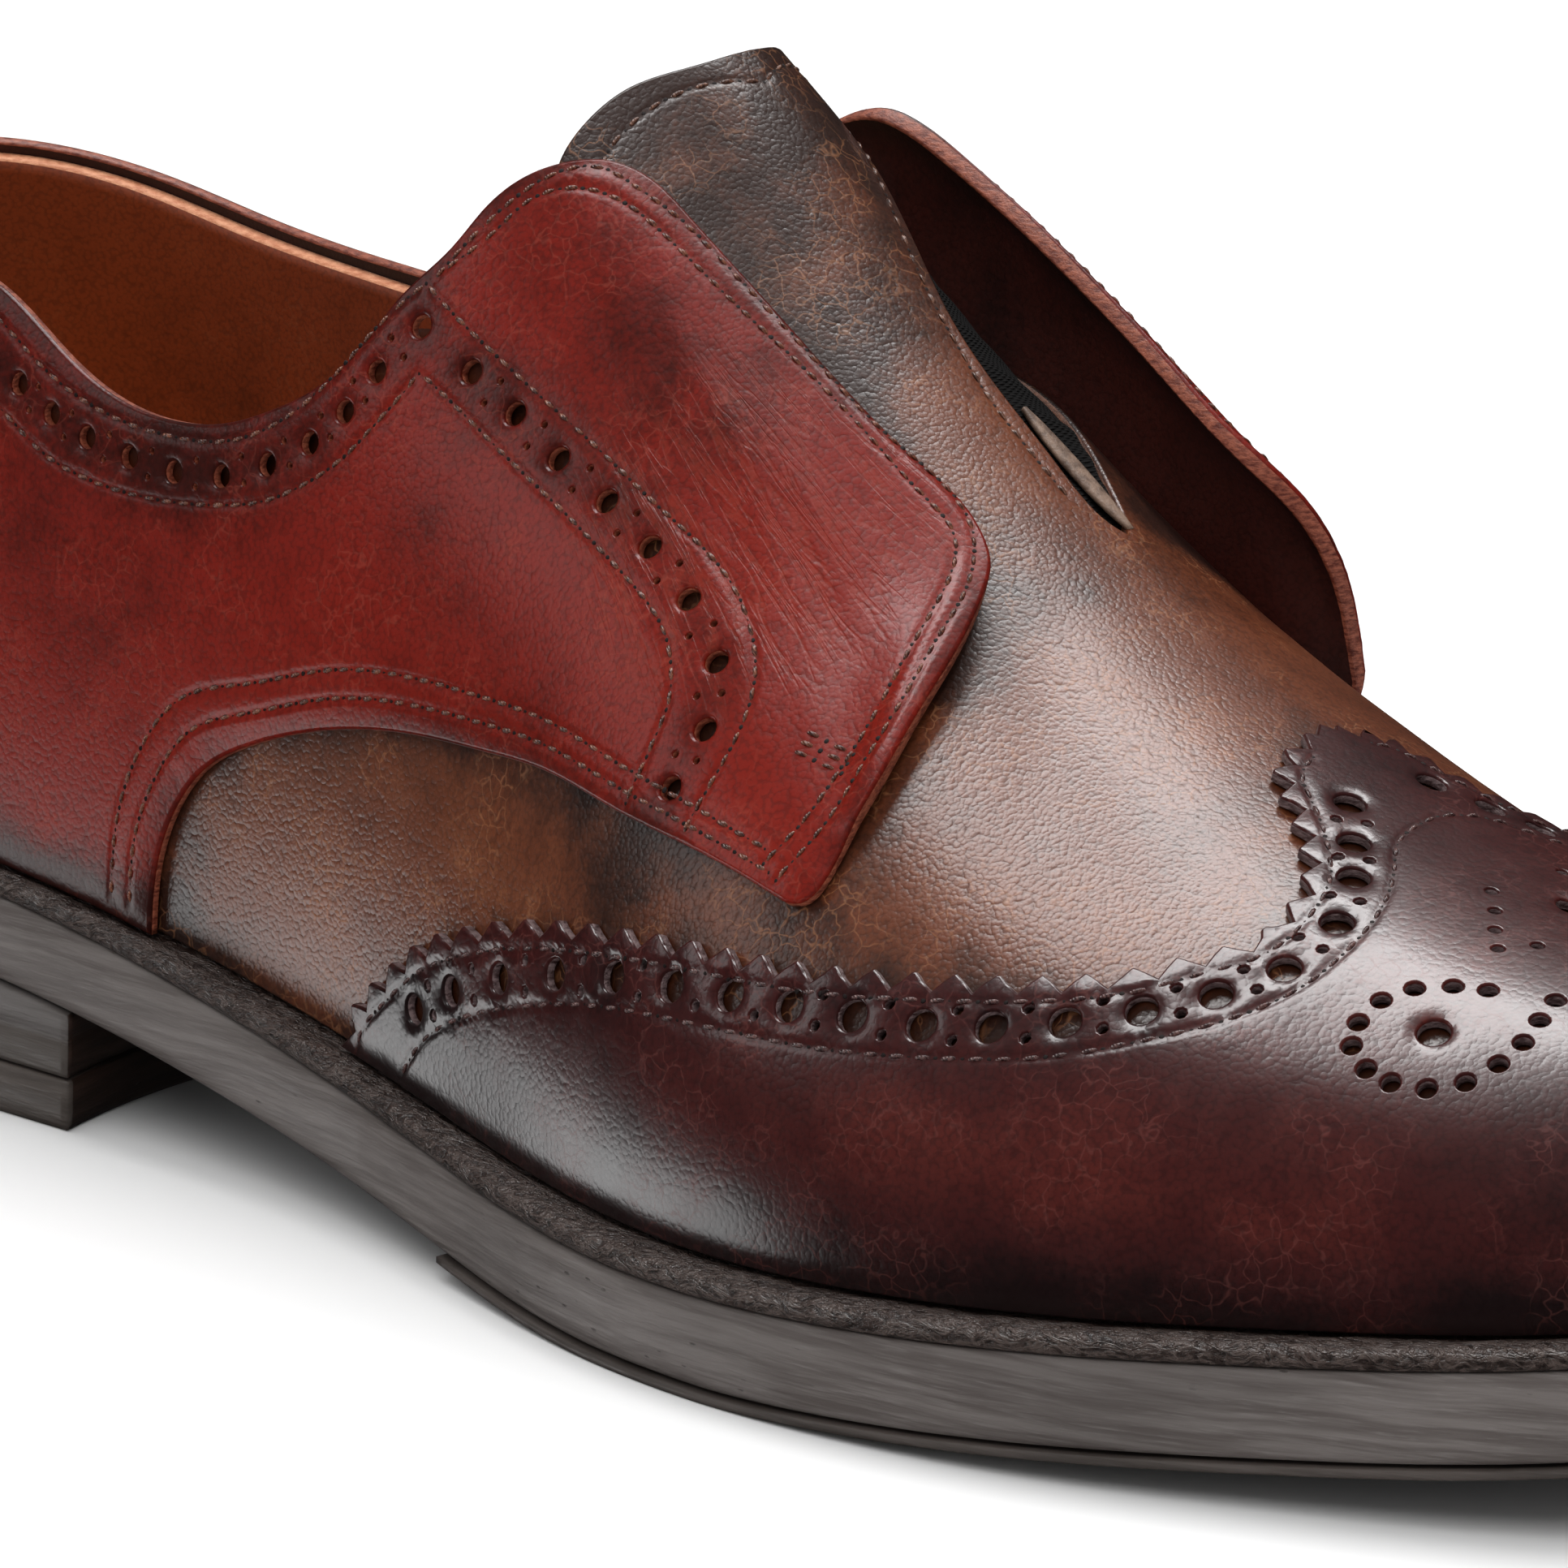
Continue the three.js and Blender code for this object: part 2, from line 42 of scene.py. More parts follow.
# =====================================================================================================
# the last: the same tables and the same surface as the construction model, in millimetres
# =====================================================================================================
class Spl:
    """C2 cubic spline through rows; closed ones have period n, open ones are natural."""
    def __init__(s, x, y, closed=False):
        s.x = np.asarray(x, float); y = np.asarray(y, float); s.closed = closed
        s.flat = y.ndim == 1
        if s.flat: y = y[:, None]
        n = len(s.x); s.n = n; A = np.zeros((n, n)); r = np.zeros_like(y)
        if closed:
            for i in range(n):
                A[i, (i - 1) % n] += 1; A[i, i] += 4; A[i, (i + 1) % n] += 1
            r = 3 * (np.roll(y, -1, 0) - np.roll(y, 1, 0))
        else:
            h = np.diff(s.x)
            for i in range(1, n - 1):
                A[i, i - 1] = 1 / h[i - 1]; A[i, i] = 2 * (1 / h[i - 1] + 1 / h[i]); A[i, i + 1] = 1 / h[i]
                r[i] = 3 * ((y[i] - y[i - 1]) / h[i - 1] ** 2 + (y[i + 1] - y[i]) / h[i] ** 2)
            A[0, 0] = 2; A[0, 1] = 1; r[0] = 3 * (y[1] - y[0]) / h[0]
            A[-1, -1] = 2; A[-1, -2] = 1; r[-1] = 3 * (y[-1] - y[-2]) / h[-1]
        s.m = np.linalg.solve(A, r); s.y = y

    def __call__(s, t, der=0):
        t = np.asarray(t, float); sh = t.shape; t = t.ravel()
        if s.closed:
            t = np.mod(t, s.n); i = np.minimum(t.astype(int), s.n - 1); j = (i + 1) % s.n; h = np.ones(len(t)); k = t - i
        else:
            i = np.clip(np.searchsorted(s.x, t, side='right') - 1, 0, len(s.x) - 2); j = i + 1; h = s.x[j] - s.x[i]; k = (t - s.x[i]) / h
        k = k[:, None]; h = h[:, None]
        if der == 0:
            o = (2*k**3 - 3*k**2 + 1)*s.y[i] + (k**3 - 2*k**2 + k)*h*s.m[i] + (-2*k**3 + 3*k**2)*s.y[j] + (k**3 - k**2)*h*s.m[j]
        else:
            o = ((6*k**2 - 6*k)*s.y[i] + (-6*k**2 + 6*k)*s.y[j])/h + (3*k**2 - 4*k + 1)*s.m[i] + (3*k**2 - 2*k)*s.m[j]
        return o[:, 0].reshape(sh) if s.flat else o.reshape(sh + (s.y.shape[1],))

# x: station. lat, med: feather line. kx, ky: crest point. h, b: first handle. w: crest flatness. welt: ledge width.
#     x     lat    med    kx     ky    hL   hM   bL   bM   wL    wM   weltL weltM
SECTIONS = np.array([
 [7.0, 0.0, 0.0, 52.0, 0.0, .50, .50, 4.0, 4.0, .60, .60, 3.5, 3.5],
 [12.4, -18.2, 18.2, 52.6, 0.0, .50, .50, 4.0, 4.0, .60, .60, 3.5, 3.5],
 [26.8, -29.3, 29.3, 55.5, 0.2, .50, .50, 3.0, 3.0, .58, .58, 3.3, 3.3],
 [45.0, -32.4, 32.0, 61.0, 0.5, .50, .50, 2.0, 2.5, .54, .56, 3.2, 3.0],
 [65.0, -33.0, 31.0, 71.5, 1.0, .50, .50, 1.5, 2.5, .50, .56, 3.3, 2.8],
 [86.0, -32.8, 28.6, 87.5, 2.5, .50, .50, 1.5, 3.0, .50, .64, 3.6, 2.6],
 [107.0, -33.0, 26.4, 107.0, 5.0, .48, .48, 2.0, 4.0, .53, .82, 4.0, 2.8],
 [128.0, -35.0, 26.4, 128.0, 7.8, .46, .47, 2.5, 6.0, .57, 1.02, 4.6, 3.5],
 [149.0, -39.5, 30.0, 149.0, 8.8, .45, .47, 2.5, 6.0, .60, .92, 5.3, 4.6],
 [170.0, -45.0, 36.5, 170.0, 8.8, .46, .50, 2.5, 5.0, .62, .72, 6.0, 5.6],
 [191.0, -48.4, 42.6, 191.0, 8.3, .49, .53, 2.5, 4.0, .62, .60, 6.4, 6.2],
 [212.0, -47.8, 46.0, 211.5, 7.5, .54, .56, 2.5, 3.0, .62, .57, 6.5, 6.5],
 [233.0, -43.6, 45.0, 231.0, 6.5, .57, .58, 2.5, 2.6, .62, .57, 6.5, 6.5],
 [253.0, -35.8, 39.6, 247.0, 5.6, .60, .60, 2.5, 2.5, .62, .58, 6.5, 6.5],
 [271.5, -27.0, 32.3, 258.0, 4.8, .60, .60, 2.5, 2.5, .62, .60, 6.5, 6.5],
 [286.8, -14.6, 22.2, 263.5, 4.2, .60, .60, 2.5, 2.5, .62, .62, 6.5, 6.5],
 [294.4, 4.0, 4.0, 265.0, 4.0, .60, .60, 2.5, 2.5, .62, .62, 6.5, 6.5]])
FEATHER_Z = np.array([[0, 29.6], [30, 28.8], [60, 27.4], [85, 24.9], [110, 20.8], [135, 16.9], [160, 14.1], [185, 13.1], [205, 13.5], [230, 15.1], [255, 17.2], [280, 19.9], [304, 23.6]])
CREST_Z = np.array([[45, 132], [65, 138], [87, 138], [107, 133], [128, 120], [149, 104.2], [170, 88.3], [191, 73.8], [212, 62.5], [233, 54.2], [250, 49.4], [268, 45.5]])

def around(l, m): return np.concatenate([SECTIONS[:, l], SECTIONS[15:0:-1, m]])
_i = np.arange(32)
feather = Spl(_i, np.stack([around(0, 0), around(1, 2)], 1), True)
crest = Spl(_i, np.stack([around(3, 3), around(4, 4)], 1), True)
shape = Spl(_i, np.stack([around(5, 6), around(7, 8), around(9, 10)], 1), True)
weltw = Spl(_i, around(11, 12), True)
featherz = Spl(FEATHER_Z[:, 0], FEATHER_Z[:, 1])
crestz = Spl(CREST_Z[:, 0], CREST_Z[:, 1])

def wrap(U, t):
    U = np.mod(np.asarray(U, float), 32); t = np.asarray(t, float); U, t = np.broadcast_arrays(U, t)
    m = t > 1
    return np.where(m, np.mod(32 - U, 32), U), np.where(m, 2 - t, t)

def S(U, t):
    U = np.asarray(U, float); p = feather(U); k = crest(U); hb = shape(U)
    zf = featherz(p[..., 0]); zk = crestz(k[..., 0]); sl = crestz(k[..., 0], 1)
    F = np.stack([p[..., 0], p[..., 1], zf], -1); K = np.stack([k[..., 0], k[..., 1], zk], -1)
    d = F[..., :2] - K[..., :2]; W = np.linalg.norm(d, axis=-1); d = d / W[..., None]; H = zk - zf
    P1 = F + np.stack([d[..., 0] * hb[..., 1], d[..., 1] * hb[..., 1], hb[..., 0] * H], -1)
    w = hb[..., 2] * W
    P2 = K + np.stack([d[..., 0] * w, d[..., 1] * w, d[..., 0] * w * sl], -1)
    t = np.asarray(t, float)[..., None]; q = 1 - t
    return q**3 * F + 3*q*q*t * P1 + 3*q*t*t * P2 + t**3 * K

def unit(v): return v / np.maximum(np.linalg.norm(v, axis=-1, keepdims=True), 1e-12)

def tangents(U, t):
    e = 1e-3
    return (S(U + e, t) - S(U - e, t)) / (2*e), (S(U, t + e) - S(U, t - e)) / (2*e)

def N(U, t):
    tc = np.minimum(t, .9975)
    a, b = tangents(U, tc); n = unit(np.cross(a, b))
    sl = crestz(crest(U)[..., 0], 1); nk = unit(np.stack([-sl, np.zeros_like(sl), np.ones_like(sl)], -1))
    w = np.clip((t - .965) / .033, 0, 1)[..., None]; w = w*w*(3 - 2*w)
    return unit(n * (1 - w) + nk * w)

def at(U, t, h=0.):
    U, t = wrap(U, t); h = np.asarray(h, float)
    return S(U, t) + N(U, t) * (h[..., None] if h.ndim else h)

def shift(U, t, V):
    """Move (U, t) by a small displacement V along the surface."""
    U, t = wrap(U, t); a, b = tangents(U, np.minimum(t, .9995))
    aa, ab, bb = (a*a).sum(-1), (a*b).sum(-1), (b*b).sum(-1); p, q = (a*V).sum(-1), (b*V).sum(-1)
    det = np.maximum(aa*bb - ab*ab, 1e-6)
    return wrap(U + (bb*p - ab*q)/det, t + (aa*q - ab*p)/det)

def smooth(s): s = np.clip(s, 0, 1); return s*s*(3 - 2*s)
def lerp(a, b, s): return a + (b - a)*s

def outline(U, share, extra=0.):
    p = feather(U); d = feather(U, 1); n = unit(np.stack([d[..., 1], -d[..., 0]], -1))
    return p + n * (weltw(U) * share + extra)[..., None]

# =====================================================================================================
# mesh helpers
# =====================================================================================================
def new_object(name, verts, faces, mats, mat_idx=None, normals=None, tone=None, uv=None, shade=True):
    me = bpy.data.meshes.new(name)
    P = (np.asarray(verts, float) - [CX, CY, 0]) / 1000
    me.from_pydata(P.tolist(), [], [list(map(int, f)) for f in faces])
    for m in mats: me.materials.append(m)
    if mat_idx is not None: me.polygons.foreach_set('material_index', np.asarray(mat_idx, np.int32))
    if shade: me.polygons.foreach_set('use_smooth', np.ones(len(me.polygons), bool))
    if tone is not None:
        a = me.attributes.new('tone', 'FLOAT_COLOR', 'POINT')
        c = np.ones((len(P), 4)); c[:, :3] = tone; a.data.foreach_set('color', c.ravel())
    me.update()
    if normals is not None:
        me.normals_split_custom_set_from_vertices(unit(np.asarray(normals)).tolist())
    o = bpy.data.objects.new(name, me); bpy.context.scene.collection.objects.link(o)
    return o

def mesh_normals(P, T):
    fn = np.cross(P[T[:, 1]] - P[T[:, 0]], P[T[:, 2]] - P[T[:, 0]])
    n = np.zeros_like(P)
    for k in range(3): np.add.at(n, T[:, k], fn)
    return unit(n)

def tree(P):
    k = kdtree.KDTree(len(P))
    for i, p in enumerate(P): k.insert(p, i)
    k.balance(); return k

def dist_to(P, Q):
    if len(Q) == 0: return np.full(len(P), 1e3)
    if Q.shape[1] == 2: Q = np.c_[Q, np.zeros(len(Q))]; P = np.c_[P, np.zeros(len(P))]
    k = tree(Q); return np.array([k.find(p)[2] for p in P])

def path(points, step, h=1.6, sharp=False):
    """Smooth path through (U, t) points on the last, evenly spaced by its length in millimetres."""
    q = np.asarray(points, float)
    c = S(*wrap(q[:, 0], q[:, 1])); L = np.concatenate([[0], np.cumsum(np.maximum(np.linalg.norm(np.diff(c, axis=0), axis=1), 1e-3))])
    sp = Spl(L, q) if len(q) > 2 and not sharp else (lambda s: np.stack([np.interp(s, L, q[:, 0]), np.interp(s, L, q[:, 1])], -1))
    s = np.linspace(0, L[-1], max(int(L[-1]*3), 8)); f = sp(s)
    g = at(f[:, 0], f[:, 1], h); A = np.concatenate([[0], np.cumsum(np.linalg.norm(np.diff(g, axis=0), axis=1))])
    n = max(int(round(A[-1] / step)), 1); k = np.linspace(0, A[-1], n + 1)
    return np.stack([np.interp(k, A, f[:, 0]), np.interp(k, A, f[:, 1])], -1)

def mirror(points): q = np.array(points, float); q[:, 0] = 32 - q[:, 0]; return q

# charts: flat maps of the last used only for triangulating
_L = np.linspace(0, 16, 400); _A = S(_L, np.full(400, .3)); _A = np.concatenate([[0], np.cumsum(np.linalg.norm(np.diff(_A, axis=0), axis=1))])
def profile_length(U, t0, t1, n=20):
    k = np.linspace(0, 1, n + 1); T = t0[:, None] + (t1 - t0)[:, None] * k
    P = S(np.repeat(U[:, None], n + 1, 1), T); return np.linalg.norm(np.diff(P, axis=1), axis=2).sum(1)
def chart_side(U, t):
    U, t = wrap(U, t); i = np.where(U > 16, 32 - U, U)
    return np.stack([np.interp(i, _L, _A), profile_length(U, np.zeros_like(t), t)], -1)
def chart_top(U, t):
    U, t = wrap(U, t); k = crest(U); f = feather(U); d = unit(f - k)
    return k + d * profile_length(U, t, np.ones_like(t))[:, None]

def inside(P, poly):
    x, y = P[:, 0], P[:, 1]; r = np.zeros(len(P), bool); a = poly; b = np.roll(poly, -1, 0)
    for (x0, y0), (x1, y1) in zip(a, b):
        if y0 == y1: continue
        c = (y0 > y) != (y1 > y); r ^= c & (x < (x1 - x0) * (y - y0) / (y1 - y0) + x0)
    return r

def panel(name, loop, top, bottom, chart, mats, step=1.7, r=.35, holes=(), rows=(), rowstep=1.0, tone=None, tri_budget=None):
    """A closed leather panel on the last: rounded edge, real perforations, finer rows along its stitching.
    loop: (U, t) outline. top, bottom: heights above the last. holes: (U, t, radius)."""
    B0 = np.asarray(loop, float); n0 = len(B0)
    base = at(B0[:, 0], B0[:, 1]); nn = N(*wrap(B0[:, 0], B0[:, 1]))
    d1 = unit(base - np.roll(base, 1, 0)); d2 = unit(np.roll(base, -1, 0) - base)
    m1, m2 = np.cross(nn, d1), np.cross(nn, d2)
    V = (m1 + m2) / np.maximum(1 + (m1*m2).sum(1), .55)[:, None]
    area = lambda c: abs((c[:, 0]*np.roll(c[:, 1], -1) - c[:, 1]*np.roll(c[:, 0], -1)).sum())
    a_in, a_out = (area(chart(*shift(B0[:, 0], B0[:, 1], s*V*r))) for s in (1, -1))
    if a_in > a_out: V = -V
    ring = lambda k: np.stack(shift(B0[:, 0], B0[:, 1], V*k), -1)
    B1, Ba = ring(r), ring(r*.3); outward = -unit(V)
    pts, tag = [B1], [np.zeros(n0, int)]
    hr = []                                    # rings of the perforations
    for q, (U, t, R) in enumerate(holes):
        c = np.array([U]), np.array([t]); p = at(*c)[0]; nrm = N(*wrap(*c))[0]
        e1 = unit(np.cross(nrm, [0, 0, 1.])); e2 = np.cross(nrm, e1); rr = min(r, .25*R + .08)
        k = 8 if R < .6 else 20 if R > 1.4 else 16
        th = np.linspace(0, 2*np.pi, k, endpoint=False); D = np.outer(np.cos(th), e1) + np.outer(np.sin(th), e2)
        g = lambda R: np.stack(shift(np.full(k, U), np.full(k, t), D*R), -1)
        hr.append((len(np.concatenate(pts)), k, g(R + rr), g(R + .3*rr), g(R), -D, rr))
        pts.append(hr[-1][2]); tag.append(np.full(k, q + 1))
    cho = chart(B1[:, 0], B1[:, 1]); fixed = np.concatenate(pts); chf = chart(fixed[:, 0], fixed[:, 1])
    # rows along the stitching, then the general rows
    extra = []
    for k, (line, offs) in enumerate(rows):
        q = path(line, rowstep); p = at(q[:, 0], q[:, 1]); tg = unit(np.gradient(p, axis=0)); sd = np.cross(N(*wrap(q[:, 0], q[:, 1])), tg)
        for o in offs: extra.append(np.stack(shift(q[:, 0], q[:, 1], sd*o), -1))
    extra = np.concatenate(extra) if extra else np.zeros((0, 2))
    for U, t, R in holes:
        if R < .6: continue
        c = at(np.array([U]), np.array([t]))[0]; nrm = N(*wrap(np.array([U]), np.array([t])))[0]; e1 = unit(np.cross(nrm, [0, 0, 1.])); e2 = np.cross(nrm, e1)
        for g, k in ((R + .75, 18), (R + 1.5, 18)):
            th = np.linspace(0, 2*np.pi, k, endpoint=False) + g; D = np.outer(np.cos(th), e1) + np.outer(np.sin(th), e2)
            extra = np.concatenate([extra, np.stack(shift(np.full(k, U), np.full(k, t), D*g), -1)])
    wu = B0[:, 0]; ulo, uhi = wu.min(), wu.max(); tlo = B0[:, 1].min(); thi = min(B0[:, 1].max(), 1.)
    um = np.array([.5*(ulo + uhi)]); H = profile_length(um, np.array([tlo]), np.array([thi]))[0]
    gen = []; nr = int(H*1.15/step) + 2
    for j, t in enumerate(np.linspace(tlo, thi, nr)):
        uu = np.linspace(ulo, uhi, 900); p = S(uu, np.full(900, min(t, .9999))); A = np.concatenate([[0], np.cumsum(np.linalg.norm(np.diff(p, axis=0), axis=1))])
        k = np.arange((j % 2)*.5*step + .25*step, A[-1], step); gen.append(np.stack([np.interp(k, A, uu), np.full(len(k), t)], -1))
    gen = np.concatenate(gen)
    def keep(q, near, dmin):
        c = chart(q[:, 0], q[:, 1]); ok = inside(c, cho); q, c = q[ok], c[ok]
        d = dist_to(at(q[:, 0], q[:, 1]), at(near[:, 0], near[:, 1])); return q[d > dmin]
    hc = np.array([[U, t] for U, t, R in holes]) if len(holes) else np.zeros((0, 2))
    def out_of_holes(q, pad):
        if not len(holes): return q
        C = at(hc[:, 0], hc[:, 1]); P = at(q[:, 0], q[:, 1]); ok = np.ones(len(q), bool)
        for c, (_, _, R) in zip(C, holes): ok &= np.linalg.norm(P - c, axis=1) > R + min(r, .25*R + .08) + pad
        return q[ok]
    if len(extra):
        extra = out_of_holes(keep(extra, fixed, .3), .22)
        P = at(extra[:, 0], extra[:, 1]); _, u = np.unique(np.round(P/.28).astype(int), axis=0, return_index=True); extra = extra[np.sort(u)]
    near = np.concatenate([fixed, extra]); gen = out_of_holes(keep(gen, near, .62*step), .3)
    allp = np.concatenate([fixed, extra, gen]); tg = np.concatenate(tag + [np.full(len(extra) + len(gen), -1)])
    ch = chart(allp[:, 0], allp[:, 1])
    E = [(i, (i + 1) % n0) for i in range(n0)]
    for s0, k, *_ in hr: E += [(s0 + i, s0 + (i + 1) % k) for i in range(k)]
    vo, _, fo, vi, _, _ = delaunay_2d_cdt([Vector(c) for c in ch], E, [], 0, 1e-7, True)
    back = np.array([v[0] if v else -1 for v in vi]); T = back[np.array([f for f in fo if len(f) == 3])]
    T = T[(T >= 0).all(1)]
    tt = tg[T]; same = (tt[:, 0] == tt[:, 1]) & (tt[:, 1] == tt[:, 2])
    drop = same & (tt[:, 0] > 0); o = np.where(same & (tt[:, 0] == 0))[0]
    if len(o): drop[o[~inside(ch[T[o]].mean(1), cho)]] = True
    T = T[~drop]
    U, t = wrap(allp[:, 0], allp[:, 1]); n = N(U, t); P0 = S(U, t)
    T = np.where((np.cross(P0[T[:, 1]] - P0[T[:, 0]], P0[T[:, 2]] - P0[T[:, 0]])*n[T[:, 0]]).sum(1)[:, None] < 0, T[:, ::-1], T)
    ht = top(U, t, P0); hb = bottom(U, t, P0)
    Pt = P0 + n*ht[:, None]; Pb = P0 + n*hb[:, None]
    nt = unit(n + mesh_normals(Pt, T) - mesh_normals(P0 + n*1.0, T)); nb = -unit(n + mesh_normals(Pb, T) - mesh_normals(P0 + n*1.0, T))
    na = len(allp); V, NN, TN = [Pt, Pb], [nt, nb], [allp, allp]
    F = [T, T[:, ::-1] + na]; M = [np.zeros(len(T), int), np.full(len(T), 2)]
    cnt = 2*na
    def rim(start, k, qa, q0, outw, rr):
        nonlocal cnt
        idx = start + np.arange(k); rb = min(rr, .2)
        Ua, ta = wrap(qa[:, 0], qa[:, 1]); U0, t0 = wrap(q0[:, 0], q0[:, 1]); nA, n0_ = N(Ua, ta), N(U0, t0)
        h = ht[idx]; hbt = hb[idx]
        ra = S(Ua, ta) + nA*(h - .3*rr)[:, None]; rb_ = S(U0, t0) + n0_*(h - rr)[:, None]; rc = S(U0, t0) + n0_*(hbt + rb)[:, None]
        V.extend([ra, rb_, rc]); NN.extend([unit(nA + outw), unit(outw + .2*nA), unit(outw - .2*nA)]); TN.extend([qa, q0, q0])
        rings = [idx, cnt + np.arange(k), cnt + k + np.arange(k), cnt + 2*k + np.arange(k), idx + na]; cnt += 3*k
        P = np.concatenate(V)
        for a, b, mi in zip(rings[:-1], rings[1:], (0, 0, 1, 1)):
            q = np.stack([a, np.roll(a, -1), np.roll(b, -1), b], -1)
            c = np.cross(P[q[:, 1]] - P[q[:, 0]], P[q[:, 3]] - P[q[:, 0]]);
            if ((c*(outw + (n[idx] if mi == 0 and a is idx else 0))).sum(1) < 0).mean() > .5: q = q[:, ::-1]
            F.append(q); M.append(np.full(len(q), mi))
    rim(0, n0, Ba, B0, outward, r)
    for s0, k, g1, ga, g0, D, rr in hr: rim(s0, k, ga, g0, D, rr)
    V = np.concatenate(V); NN = np.concatenate(NN); TN = np.concatenate(TN)
    faces = [list(f) for a in F for f in a]; M = np.concatenate(M)
    Uw, tw = wrap(TN[:, 0], TN[:, 1])
    tn = tone(Uw, tw, V) if tone else np.zeros((len(V), 3))
    o = new_object(name, V, faces, mats, M, NN, tn)
    print('%-22s %6d verts %6d tris' % (name, len(V), sum(len(f) - 2 for f in faces)))
    return o

def shell(name, nodes_top, nodes_bot, cells, mats, tone=None, rim_mat=0, bot_mat=0):
    """Closed shell from a grid of quads with a top and a bottom point for each node."""
    n = len(nodes_top); V = np.concatenate([nodes_top, nodes_bot]); F = []; M = []; cnt = {}
    for q in cells:
        q = [v for k, v in enumerate(q) if v != q[k - 1]]
        if len(q) < 3: continue
        F.append(q); M.append(0); F.append([v + n for v in q[::-1]]); M.append(bot_mat)
        for k, v in enumerate(q): cnt[(q[k - 1], v)] = 1
    for (i, j) in cnt:
        if (j, i) not in cnt: F.append([j, i, i + n, j + n]); M.append(rim_mat)
    vol = 0.
    for f in F:
        a = V[f[0]]
        for k in range(1, len(f) - 1): vol += np.dot(a, np.cross(V[f[k]], V[f[k + 1]]))
    if vol < 0: F = [f[::-1] for f in F]
    return new_object(name, V, F, mats, M, None, None if tone is None else np.concatenate([tone, tone*0]))

def ring_solid(name, rings, closed_profile, mats, mat_rows=None, caps=None, tone=None):
    """Rings of equal length joined in order; closed_profile joins the last back to the first; caps are spine points."""
    k = len(rings[0]); V = np.concatenate(rings); F = []; M = []
    m = len(rings); pairs = [(a, a + 1) for a in range(m - 1)] + ([(m - 1, 0)] if closed_profile else [])
    for a, b in pairs:
        i = np.arange(k); j = (i + 1) % k
        F += np.stack([a*k + i, a*k + j, b*k + j, b*k + i], -1).tolist(); M += [mat_rows[a] if mat_rows else 0]*k
    if caps:
        for r, spine, rev, mi in caps:
            base = r*k; s0 = len(V); V = np.concatenate([V, spine]); i = np.arange(k); j = (i + 1) % k
            q = np.stack([base + i, base + j, s0 + j, s0 + i], -1); F += (q[:, ::-1] if rev else q).tolist(); M += [mi]*k
    # merge points that coincide, drop collapsed corners
    key = np.round(V/2e-3).astype(np.int64); _, first, inv = np.unique(key, axis=0, return_index=True, return_inverse=True); inv = inv.ravel()
    G, MM = [], []
    for f, mm in zip(F, M):
        f = [int(inv[v]) for v in f]; f = [v for q, v in enumerate(f) if v != f[q - 1]]
        if len(f) >= 3 and len(set(f)) == len(f): G.append(f); MM.append(mm)
    V = V[first]; vol = 0.
    for f in G:
        a = V[f[0]]
        for q in range(1, len(f) - 1): vol += np.dot(a, np.cross(V[f[q]], V[f[q + 1]]))
    if vol < 0: G = [f[::-1] for f in G]
    return new_object(name, V, G, mats, MM, None, tone(V) if tone else None)

